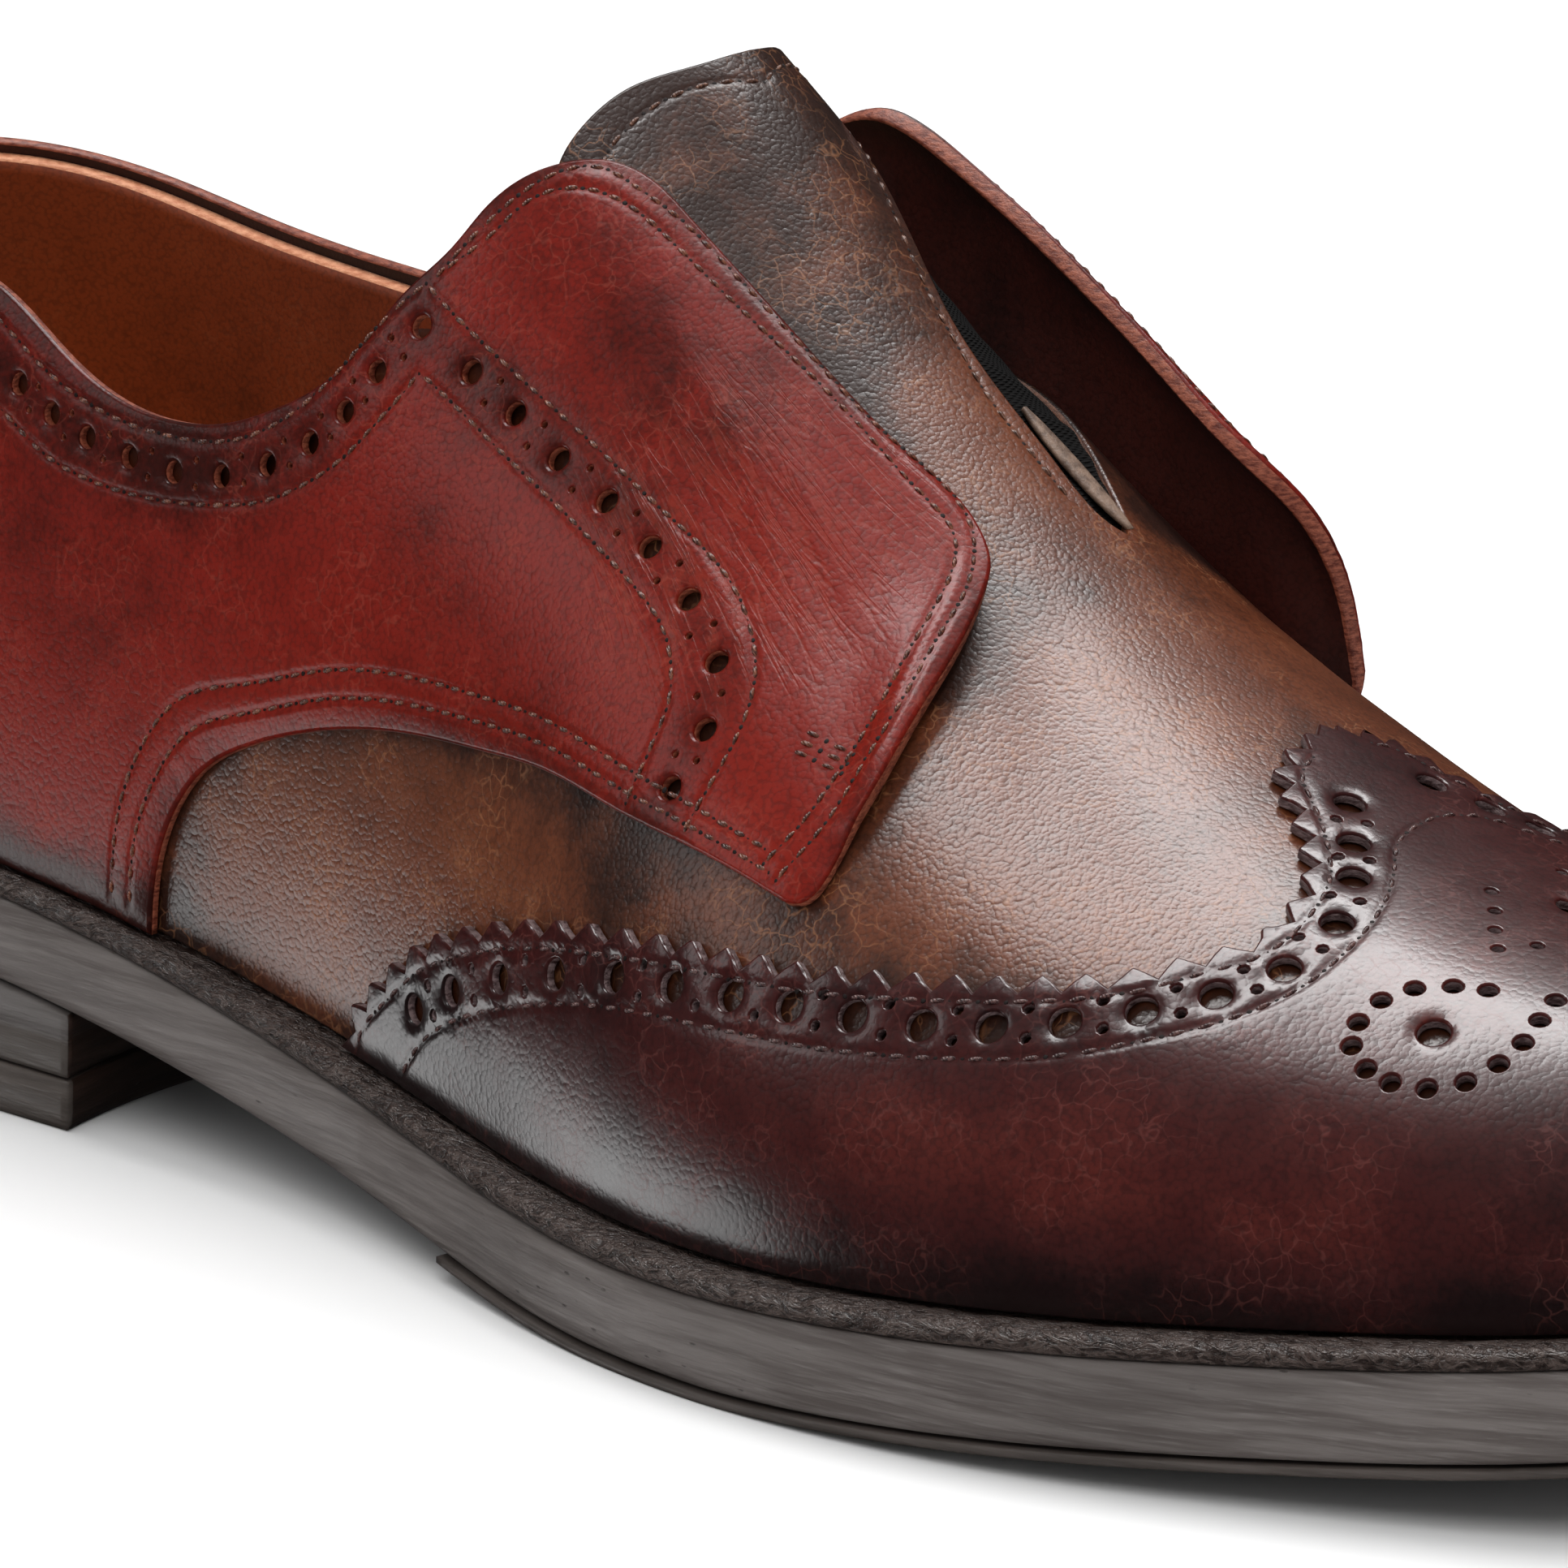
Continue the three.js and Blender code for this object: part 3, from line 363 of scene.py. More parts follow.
# =====================================================================================================
# materials
# =====================================================================================================
class Graph:
    def __init__(g, name):
        g.m = bpy.data.materials.new(name); g.m.use_nodes = True; g.t = g.m.node_tree; g.t.nodes.clear()
        g.out = g.n('OutputMaterial'); g.p = g.n('BsdfPrincipled'); g.link(g.p, 'BSDF', g.out, 'Surface')
        g.co = g.vm('SCALE', (g.n('TexCoord'), 'Object'), scale=1000.)        # millimetres
    def n(g, kind, **kw):
        x = g.t.nodes.new('ShaderNode' + kind)
        for k, v in kw.items(): setattr(x, k, v)
        return x
    def link(g, a, ao, b, bi): g.t.links.new(a.outputs[ao], b.inputs[bi])
    def put(g, x, i, v):
        if isinstance(v, tuple) and hasattr(v[0], 'outputs'): g.link(v[0], v[1], x, i)
        else:
            s = x.inputs[i]; s.default_value = tuple(v) + (1.,) if isinstance(v, (tuple, list)) and s.type == 'RGBA' and len(v) == 3 else v
    def vm(g, op, a, b=None, scale=None):
        x = g.n('VectorMath', operation=op); g.put(x, 0, a)
        if b is not None: g.put(x, 1, b)
        if scale is not None: x.inputs['Scale'].default_value = scale
        return (x, 0)
    def ma(g, op, a, b=0., c=None, clamp=False):
        x = g.n('Math', operation=op, use_clamp=clamp); g.put(x, 0, a); g.put(x, 1, b)
        if c is not None: g.put(x, 2, c)
        return (x, 0)
    def noise(g, scale, detail=3., rough=.55, co=None, dist=0., out='Fac'):
        x = g.n('TexNoise'); g.put(x, 'Vector', co or g.co); x.inputs['Scale'].default_value = scale; x.inputs['Detail'].default_value = detail
        x.inputs['Roughness'].default_value = rough; x.inputs['Distortion'].default_value = dist
        return (x, out)
    def voro(g, scale, feature='F1', co=None, out='Distance', rnd=1.):
        x = g.n('TexVoronoi', feature=feature); g.put(x, 'Vector', co or g.co); x.inputs['Scale'].default_value = scale; x.inputs['Randomness'].default_value = rnd
        return (x, out)
    def rng(g, v, a, b, c=0., d=1., kind='SMOOTHSTEP'):
        x = g.n('MapRange', interpolation_type=kind); g.put(x, 0, v)
        for i, q in enumerate((a, b, c, d)): g.put(x, i + 1, q)
        return (x, 0)
    def mix(g, f, a, b, mode='MIX'):
        x = g.n('Mix', data_type='RGBA', blend_type=mode); g.put(x, 0, f); g.put(x, 6, a); g.put(x, 7, b)
        return (x, 2)
    def stretch(g, s, co=None): return g.vm('MULTIPLY', co or g.co, s)
    def warp(g, scale, amount, co=None):
        w = g.vm('SUBTRACT', g.noise(scale, 1., co=co, out='Color'), (.5, .5, .5)); return g.vm('ADD', co or g.co, g.vm('SCALE', w, scale=amount))
    def bump(g, h, mm, strength=1., normal=None):
        x = g.n('Bump'); x.inputs['Strength'].default_value = strength; x.inputs['Distance'].default_value = mm/1000; g.put(x, 'Height', h)
        if normal: g.put(x, 'Normal', normal)
        return (x, 0)
    def tone(g):
        a = g.n('Attribute', attribute_name='tone'); s = g.n('SeparateColor'); g.link(a, 'Color', s, 0); return (s, 0), (s, 1), (s, 2)
    def set(g, **kw):
        for k, v in kw.items(): g.put(g.p, k.replace('_', ' '), v)
        return g.m

def leather(name, dark, mid, light, vein, grain=.75, amp=.05, crackle=.5, rough=.42, coat=.4, coat_rough=.2, mott=1., veincol=None, fine=.5, spec=.5, wrinkle=None):
    g = Graph(name); tr, tg, tb = g.tone()
    big = g.noise(.045, 2., .62); med = g.noise(.22, 3., .6, dist=.3); small = g.noise(1.4, 2., .6)
    f = g.ma('ADD', g.ma('MULTIPLY', g.ma('SUBTRACT', big, .5), 1.3*mott), g.ma('MULTIPLY', g.ma('SUBTRACT', med, .5), .5*mott))
    f = g.ma('ADD', f, g.ma('MULTIPLY', g.ma('SUBTRACT', small, .5), .35)); f = g.ma('ADD', f, .5)
    # tone attribute: red darkens and blue lightens the leather (patina, and on the vamp partly painted shade of the
    # flaps)
    f = g.ma('ADD', f, g.ma('MULTIPLY', tb, .8)); f = g.ma('SUBTRACT', f, g.ma('MULTIPLY', tr, .9))
    col = g.mix(g.rng(f, .0, .55), dark, mid); col = g.mix(g.rng(f, .5, 1.15), col, light)
    # green channel of the tone attribute: blend towards near black, painted shade on leather seen only down the
    # perforations and under the lifted flaps, and a dark line along the foot of the upper
    col = g.mix(g.ma('MULTIPLY', tg, .85), col, tuple(c*.25 for c in dark))
    # grain cells and fine creases
    w = g.warp(1.1, .45); cell = g.voro(1/grain, 'F1', w); h1 = g.ma('SUBTRACT', 1., g.ma('MULTIPLY', cell, cell))
    gr = g.rng(cell, .42, .78, 1., 0.)
    w2 = g.warp(.5, 2.2); v1 = g.rng(g.voro(.42, 'DISTANCE_TO_EDGE', w2), .0, .055, 1., 0.)
    m1 = g.rng(g.noise(.09, 1.), .42, .62)
    veins = g.ma('MULTIPLY', v1, m1)
    col = g.mix(g.ma('MULTIPLY', veins, .55*crackle), col, veincol or vein)
    col = g.mix(g.ma('MULTIPLY', g.ma('SUBTRACT', 1., gr), .30), col, tuple(c*.5 for c in dark))
    fn = g.noise(3.2, 1., .6)
    h = g.ma('ADD', h1, g.ma('MULTIPLY', fn, fine))
    if wrinkle:                                  # fine creases that run along the flap, strongest in its middle
        c0, d1, d2, rad = wrinkle; rel = g.vm('SUBTRACT', g.co, tuple(c0)); dot = lambda d: (g.vm('DOT_PRODUCT', rel, tuple(d))[0], 'Value')
        a_, b_ = dot(d1), dot(d2); fan = g.ma('MULTIPLY', b_, g.ma('SUBTRACT', 1., g.ma('MULTIPLY', a_, .012)))
        x = g.n('CombineXYZ'); g.put(x, 0, g.ma('MULTIPLY', a_, .07)); g.put(x, 1, g.ma('MULTIPLY', fan, .55)); wr_ = g.noise(1., 3., .55, co=(x, 0), dist=.5)
        ln = g.rng((g.vm('LENGTH', rel)[0], 'Value'), rad*.45, rad, 1., 0.); rd = g.rng(g.ma('ABSOLUTE', g.ma('SUBTRACT', wr_, .5)), 0., .07, 1., 0.)
        h = g.ma('SUBTRACT', h, g.ma('MULTIPLY', g.ma('MULTIPLY', rd, ln), 1.15)); col = g.mix(g.ma('MULTIPLY', g.ma('MULTIPLY', rd, ln), .10), col, vein)
    b = g.bump(h, amp)
    ro = g.ma('ADD', rough - .06, g.ma('MULTIPLY', med, .12)); ro = g.ma('ADD', ro, g.ma('MULTIPLY', veins, .08))
    g.set(Base_Color=col, Roughness=ro, Normal=b, Coat_Weight=coat, Coat_Roughness=coat_rough, Coat_IOR=1.5, Specular_IOR_Level=spec, IOR=1.5)
    g.put(g.p, 'Coat Normal', b)
    return g.m

def raw_edge(name, a, b, rough=.7, amp=.12, scale=(1., 1., 3.)):
    g = Graph(name); c = g.stretch(scale); n1 = g.noise(.9, 5., .65, co=c); n2 = g.noise(4., 3., .6)
    g.set(Base_Color=g.mix(g.rng(n1, .3, .7), a, b), Roughness=rough, Normal=g.bump(g.ma('ADD', n1, g.ma('MULTIPLY', n2, .5)), amp), Coat_Weight=.1, Coat_Roughness=.4)
    return g.m

LIN = lambda r, g, b: tuple(((c/255 + .055)/1.055)**2.4 if c/255 > .04045 else c/255/12.92 for c in (r, g, b))
_c, _e1, _e2 = S(*wrap(np.array([9.0, 9.75, 7.9]), np.array([.655, .655, .690]))); _d1 = unit(_e1 - _e2); _d2 = np.cross(N(*wrap(np.array([8.75]), np.array([.665])))[0], _d1)
FLAP_WRINKLE = (_c - [CX, CY, 0], _d1, _d2, 26.)
M_VAMP = leather('vamp_leather', LIN(42, 22, 15), LIN(98, 49, 26), LIN(126, 70, 38), LIN(166, 110, 70), grain=.52, amp=.034, crackle=.6, rough=.355, coat=.35, coat_rough=.23, fine=.3, spec=.42)
M_QUART = leather('quarter_leather', LIN(48, 11, 6), LIN(115, 20, 7), LIN(134, 30, 12), LIN(170, 80, 58), grain=.55, amp=.020, crackle=.28, rough=.34, coat=.13, coat_rough=.22, mott=.6, fine=.25, spec=.26, wrinkle=FLAP_WRINKLE)
M_CAP = leather('cap_leather', LIN(26, 11, 12), LIN(56, 17, 16), LIN(80, 27, 21), LIN(118, 58, 50), grain=.6, amp=.016, crackle=.45, rough=.31, coat=.36, coat_rough=.17, mott=.9, fine=.22, spec=.42)
M_LINING = leather('lining_leather', LIN(86, 36, 14), LIN(134, 56, 20), LIN(156, 74, 30), LIN(190, 130, 84), grain=.5, amp=.02, crackle=.1, rough=.6, coat=.05, coat_rough=.4, mott=.6)
M_INSOLE = leather('insole_leather', LIN(112, 64, 34), LIN(158, 96, 54), LIN(180, 116, 70), LIN(190, 136, 92), grain=.5, amp=.02, crackle=.1, rough=.6, coat=.05, coat_rough=.4, mott=.6)
# inner face of the quarters: a darker, duller copy of the quarter leather, painted shade for the shaded inner face of
# the standing flap
M_QUARTER_INSIDE_SHADE = leather('quarter_inside_painted_shade', LIN(28, 9, 7), LIN(62, 20, 13), LIN(86, 30, 18), LIN(100, 40, 26), grain=.5, amp=.03, crackle=.1, rough=.62, coat=.05, coat_rough=.4, mott=.7)
M_QEDGE = raw_edge('quarter_cut_edge', LIN(92, 34, 22), LIN(160, 88, 64), .5)
M_CEDGE = raw_edge('cap_cut_edge', LIN(56, 36, 36), LIN(132, 112, 112), .42, .2)
M_LEDGE = raw_edge('lining_cut_edge', LIN(176, 104, 66), LIN(214, 150, 112), .75)
M_VEDGE = raw_edge('vamp_cut_edge', LIN(60, 34, 24), LIN(110, 70, 50), .55)

def thread(name, a, b):
    g = Graph(name); n1 = g.noise(2.2, 3.); n2 = g.noise(.12, 2.)
    wv = g.n('TexWave', wave_type='BANDS', bands_direction='DIAGONAL'); g.put(wv, 'Vector', g.co); wv.inputs['Scale'].default_value = 1.1; wv.inputs['Distortion'].default_value = .6
    c = g.mix(g.rng(n1, .35, .65), a, b); c = g.mix(g.ma('MULTIPLY', g.rng(n2, .4, .7), .35), c, tuple(x*.5 for x in a))
    g.set(Base_Color=c, Roughness=.42, Normal=g.bump((wv, 1), .12), Coat_Weight=.35, Coat_Roughness=.25)
    return g.m
M_TH_Q = thread('quarter_thread', LIN(64, 28, 20), LIN(128, 74, 52))
M_TH_C = thread('cap_thread', LIN(52, 28, 28), LIN(104, 72, 68))
M_TH_V = thread('vamp_thread', LIN(70, 42, 32), LIN(122, 84, 66))
# dark lenses in the needle holes: painted shade
g = Graph('needle_hole_shade'); g.set(Base_Color=g.mix(g.noise(1.5), LIN(14, 6, 5), LIN(30, 13, 10)), Roughness=.8); M_NEEDLE_SHADE = g.m

def elastic():
    g = Graph('elastic_weave'); w = g.n('TexWave', wave_type='BANDS', bands_direction='X'); g.put(w, 'Vector', g.co); w.inputs['Scale'].default_value = .55; w.inputs['Distortion'].default_value = .5
    w2 = g.n('TexWave', wave_type='BANDS', bands_direction='Z'); g.put(w2, 'Vector', g.co); w2.inputs['Scale'].default_value = .9
    h = g.ma('MULTIPLY', (w, 1), (w2, 1)); g.set(Base_Color=g.mix(h, LIN(5, 4, 4), LIN(17, 14, 14)), Roughness=.9, Normal=g.bump(h, .25), Specular_IOR_Level=.2); return g.m
M_ELASTIC = elastic()
g = Graph('stay_leather'); g.set(Base_Color=g.mix(g.rng(g.noise(.6, 5.), .35, .65), LIN(84, 64, 52), LIN(126, 102, 86)), Roughness=.6, Normal=g.bump(g.noise(2.4, 4.), .12)); M_STAY = g.m

def welt_mat():
    g = Graph('welt_leather'); w = g.warp(.25, 3.)
    st = g.noise(.55, 3., .7, co=g.stretch((.35, .8, 1.6), w)); fi = g.noise(1.9, 3., .7, co=g.stretch((.5, .9, 1.), g.warp(.6, 1.5)))
    rid = g.ma('ABSOLUTE', g.ma('SUBTRACT', st, .5)); rid = g.rng(rid, .0, .10, 1., 0.)
    c = g.mix(g.rng(fi, .3, .7), LIN(26, 17, 14), LIN(62, 46, 40)); c = g.mix(g.ma('MULTIPLY', rid, .5), c, LIN(96, 82, 76))
    h = g.ma('ADD', st, g.ma('MULTIPLY', fi, .7)); h = g.ma('ADD', h, g.ma('MULTIPLY', rid, .35))
    b = g.bump(h, .55)
    g.set(Base_Color=c, Roughness=g.rng(fi, .3, .7, .34, .6), Normal=b, Coat_Weight=.45, Coat_Roughness=.25); g.put(g.p, 'Coat Normal', b)
    return g.m
M_WELT = welt_mat()

def sole_edge(name, a, b, c, zdark=None):
    g = Graph(name); s = g.n('SeparateXYZ'); g.put(s, 0, g.co)
    st = g.noise(.30, 3., .62, co=g.stretch((.16, .16, 3.2), g.warp(.05, 2.))); st2 = g.noise(.9, 3., .65, co=g.stretch((.22, .22, 3.4)))
    pit = g.rng(g.voro(.55, 'F1', g.stretch((.45, .45, 1.5))), .04, .13, 1., 0.); pm = g.rng(g.noise(.05, 3.), .5, .62); pit = g.ma('MULTIPLY', pit, pm)
    big = g.noise(.03, 3.)
    col = g.mix(g.rng(st, .32, .68), a, b); col = g.mix(g.ma('MULTIPLY', g.rng(st2, .5, .75), .45), col, c); col = g.mix(g.ma('MULTIPLY', g.rng(big, .35, .7), .35), col, tuple(x*.6 for x in a))
    col = g.mix(g.ma('MULTIPLY', pit, .55), col, tuple(x*.3 for x in a))
    if zdark:
        for z0, z1, cc, k in zdark: col = g.mix(g.ma('MULTIPLY', g.rng((s, 2), z0, z1, 1., 0.), k), col, cc)
    h = g.ma('ADD', g.ma('MULTIPLY', st, .7), g.ma('MULTIPLY', st2, .6)); h = g.ma('SUBTRACT', h, g.ma('MULTIPLY', pit, .8))
    g.set(Base_Color=col, Roughness=g.rng(st2, .3, .7, .42, .58), Normal=g.bump(h, .16), Coat_Weight=.15, Coat_Roughness=.35, Specular_IOR_Level=.45)
    return g.m
M_SOLE = sole_edge('sole_leather_edge', LIN(84, 76, 73), LIN(108, 101, 98), LIN(126, 120, 117))
M_HEEL = sole_edge('heel_stack_edge', LIN(80, 74, 72), LIN(100, 95, 93), LIN(114, 109, 106), [(9.3, 10.2, LIN(66, 58, 52), .75), (5.6, 6.2, LIN(50, 43, 38), .6)])
M_BREAST = sole_edge('heel_breast', LIN(40, 27, 22), LIN(62, 44, 36), LIN(78, 60, 50))
M_RUBBER = sole_edge('rubber_edge', LIN(64, 57, 53), LIN(80, 72, 68), LIN(90, 83, 79))
M_TOPP = sole_edge('heel_top_edge', LIN(66, 58, 53), LIN(84, 76, 71), LIN(92, 84, 80))

# =====================================================================================================
# pattern tables: section number U and height share t on the last
# =====================================================================================================
COLLAR = [(0, .405, .405), (1, .404, .402), (2, .398, .374), (3, .386, .341), (4, .366, .326), (5, .320, .330), (5.5, .323, .345), (6, .360, .383), (6.3, .405, .425), (6.6, .478, .480), (7, .535, .535), (7.5, .585, .585), (8, .635, .635), (8.5, .70, .70), (8.9, .78, .78), (9.2, .84, .84)]
QUARTER = np.array([
  [0.00, .012, 0.00, .405, 0, .405], [1.00, .012, 1.00, .404, 0, .402], [2.00, .012, 2.00, .398, 0, .374], [3.00, .012, 3.00, .386, 0, .341],
  [4.00, .012, 4.00, .366, 0, .326], [4.80, .012, 4.80, .324, 0, .327], [5.40, .014, 5.35, .318, 0, .340], [5.62, .070, 5.70, .335, 0, .357],
  [5.85, .120, 6.00, .360, 0, .383], [6.17, .155, 6.30, .405, 0, .425], [6.50, .185, 6.60, .485, .02, .490], [6.85, .214, 6.90, .590, .10, .590],
  [7.30, .248, 7.14, .684, .30, .672], [7.70, .279, 7.40, .765, .60, .745], [8.10, .307, 7.90, .801, .85, .775], [8.55, .334, 8.50, .816, .95, .790],
  [8.95, .353, 9.10, .832, 1.0, .800], [9.35, .371, 9.60, .848, 1.0, .805], [9.65, .384, 9.90, .815, 1.0, .780], [9.85, .390, 10.06, .745, .95, .720],
  [10.00, .392, 10.17, .645, .75, .630], [10.10, .393, 10.22, .520, .45, .515]])
LIFT = {1: 1.6, -1: 9.5}
quarter_rows = Spl(np.arange(len(QUARTER)), QUARTER)
_LIFT = {}
def quarter_lift(U, t, side):
    """Share of the flap's lift: a smooth blend of the nearest places of the pattern's own columns."""
    if side not in _LIFT:
        s, v = [a.ravel() for a in np.meshgrid(np.linspace(0, 21, 211), np.linspace(0, 1, 45))]; r = quarter_rows(s); c = 3 if side > 0 else 5
        u_, t_ = r[:, 0] + (r[:, 2] - r[:, 0])*v, r[:, 1] + (r[:, c] - r[:, 1])*v
        rise = np.maximum(0, r[:, 4])*smooth((v - .5)/.5)**(1 if side > 0 else .8)
        _LIFT[side] = (tree(S(*wrap(u_ if side > 0 else 32 - u_, t_))), rise)
    k, rise = _LIFT[side]; out = np.zeros(len(U))
    for q, p in enumerate(S(*wrap(U, t))):
        f = k.find_n(p, 16); w = [math.exp(-(d[2]/1.7)**2) + 1e-9/(1e-3 + d[2]) for d in f]; out[q] = sum(a*rise[d[1]] for a, d in zip(w, f))/sum(w)
    return out

COLLAR_EDGE = [(7.10, .678), (6.99, .633), (6.89, .580), (6.71, .519), (6.50, .448), (6.32, .406), (6.05, .367), (5.77, .339), (5.48, .323), (5.13, .317), (4.67, .331), (4.16, .362), (3, .386), (2, .398), (1, .404), (0, .405)]
FLAP_EDGE = [(10.09, .393), (10.16, .400), (10.24, .466), (10.24, .559), (10.19, .641), (10.11, .725), (9.98, .794), (9.90, .819), (9.75, .837), (9.58, .843), (9.32, .833), (8.93, .820), (8.40, .808), (7.87, .795), (7.58, .782), (7.40, .757), (7.28, .730), (7.19, .706), (7.11, .660)]
LOWER_EDGE = [(5.53, .0), (5.57, .045), (5.68, .084), (5.88, .122), (6.20, .157), (6.82, .212), (7.38, .256), (7.94, .296), (8.40, .328), (8.99, .355), (9.38, .374), (9.75, .388), (10.09, .393)]
MED_TOP = [(10.09, .393), (10.17, .41), (10.22, .515), (10.17, .63), (10.06, .72), (9.9, .78), (9.6, .805), (9.1, .80), (8.5, .79), (7.9, .775), (7.5, .755), (7.3, .715), (7.14, .672), (6.9, .59), (6.6, .487), (6.3, .425), (6, .383), (5.5, .345), (5, .330), (4.5, .326), (4, .326), (3, .341), (2, .374), (1, .402), (0, .405)]
COL_ST1 = [(0, .384), (1, .383), (2, .377), (3, .366), (4.20, .340), (4.46, .323), (4.82, .308), (5.20, .306), (5.49, .313), (5.79, .328), (6.04, .352), (6.30, .394), (6.46, .433), (6.61, .478), (6.83, .540)]
COL_ST2 = [(0, .327), (1, .326), (2, .320), (3, .309), (4.30, .283), (4.59, .266), (4.89, .260), (5.21, .263), (5.55, .274), (5.85, .290), (6.11, .310), (6.40, .346), (6.62, .386), (6.75, .420), (6.90, .466), (6.94, .481)]
FAC_OUT = [(6.83, .540), (6.92, .540), (7.31, .547), (7.70, .559), (8.09, .573), (8.50, .586), (8.79, .596), (9.05, .596), (9.25, .580), (9.38, .555), (9.45, .519), (9.46, .470), (9.42, .407), (9.40, .380)]
FAC_IN = [(6.95, .482), (7.25, .488), (7.60, .495), (8.05, .507), (8.44, .515), (8.70, .517), (8.85, .511), (8.96, .495), (9.03, .471), (9.04, .428), (9.03, .402), (9.00, .365)]
FLAP_ST1 = [(6.86, .545), (7.10, .650), (7.25, .708), (7.41, .747), (7.58, .764), (7.86, .783), (8.22, .795), (8.70, .809), (9.14, .821), (9.49, .837), (9.69, .831), (9.81, .813), (9.95, .766), (10.02, .713), (10.11, .620), (10.12, .54), (10.09, .47), (10.0, .405)]
FLAP_ST2 = [(6.90, .560), (7.10, .625), (7.19, .667), (7.37, .714), (7.56, .741), (7.87, .760), (8.31, .776), (8.71, .793), (9.16, .805), (9.48, .810), (9.67, .810), (9.80, .787), (9.88, .749), (9.95, .690), (10.02, .60), (10.02, .53), (9.99, .47), (9.9, .412)]
LOW_ST = [(5.40, .012), (5.44, .060), (5.57, .102), (5.79, .142), (6.17, .176), (6.80, .232), (7.36, .276), (7.92, .316), (8.38, .347), (8.97, .374), (9.37, .392), (9.75, .405), (9.95, .409)]
LOW_ST2 = [(5.27, .012), (5.31, .064), (5.46, .115), (5.71, .158), (6.14, .193), (6.78, .250), (7.34, .294), (7.90, .334), (8.36, .365), (8.96, .392), (9.36, .410), (9.74, .423), (9.88, .427)]
BAR = [(9.73, .535), (10.04, .552)]
COL_HOLES = [(0, .355), (.55, .355), (1.1, .353), (1.65, .350), (2.2, .346), (2.75, .341), (3.3, .334), (3.85, .321), (4.38, .303), (4.63, .291), (4.89, .285), (5.19, .285), (5.50, .291), (5.82, .307), (6.11, .335), (6.36, .370), (6.54, .409), (6.68, .453), (6.87, .510)]
FAC_HOLES = [(7.23, .519), (7.55, .527), (7.88, .534), (8.23, .547), (8.56, .554), (8.88, .552), (9.17, .532), (9.28, .476), (9.23, .409)]
CAP_EDGE = [(6.98, .0), (7.03, .027), (7.23, .064), (7.56, .115), (7.96, .161), (8.47, .211), (8.84, .243), (9.41, .288), (9.91, .323), (10.38, .354), (10.79, .388), (11.17, .426), (11.52, .470), (11.83, .526), (12.04, .587), (12.18, .642), (12.18, .708), (12.12, .758), (11.96, .806), (11.71, .852), (11.47, .89), (11.36, .94), (11.30, 1.)]
CAP_HOLES = [(7.61, .068), (7.92, .105), (8.32, .147), (8.77, .188), (9.20, .224), (9.60, .252), (9.97, .277), (10.32, .297), (10.67, .317), (11.03, .339), (11.36, .370), (11.68, .413), (11.98, .467), (12.25, .529), (12.45, .610), (12.47, .724), (12.30, .814), (12.10, .870), (11.85, .925)]
CAP_ST_LOW = [(7.50, .008), (7.66, .043), (8.02, .091), (8.56, .143), (8.95, .177), (9.54, .217), (10.06, .244), (10.54, .266), (10.97, .292), (11.37, .324), (11.73, .364), (12.05, .419), (12.35, .486), (12.60, .594), (12.64, .683), (12.58, .779), (12.40, .862), (12.24, .912), (12.16, 1.)]
RING = [(13.11, .655), (13.29, .687), (13.49, .705), (13.00, .610), (12.97, .555), (13.01, .508), (13.14, .472), (13.29, .457), (13.48, .461), (13.66, .491), (13.79, .546), (13.87, .608), (13.90, .672), (13.93, .734)]
COLUMN = [(12.91, .924), (13.07, .887), (13.20, .846), (13.33, .807), (13.53, .854)]
TONGUE_SIDE = [(7.0, .70), (7.5, .715), (8.0, .735), (8.5, .775), (8.8, .815), (9.0, .85), (9.15, .878)]
TONGUE_TOP = [(7.24, .680), (7.18, .725), (7.19, .775), (7.25, .845), (7.33, .905), (7.375, .955), (7.385, 1.)]
both = lambda q: [q, mirror(q)]

# =====================================================================================================
# heights of the layers above the last
# =====================================================================================================
def polyline(paths, h=1.6, step=.5):
    out = [np.zeros((0, 3))]
    for p in paths: q = path(p, step, h); out.append(S(*wrap(q[:, 0], q[:, 1])))
    return np.concatenate(out)

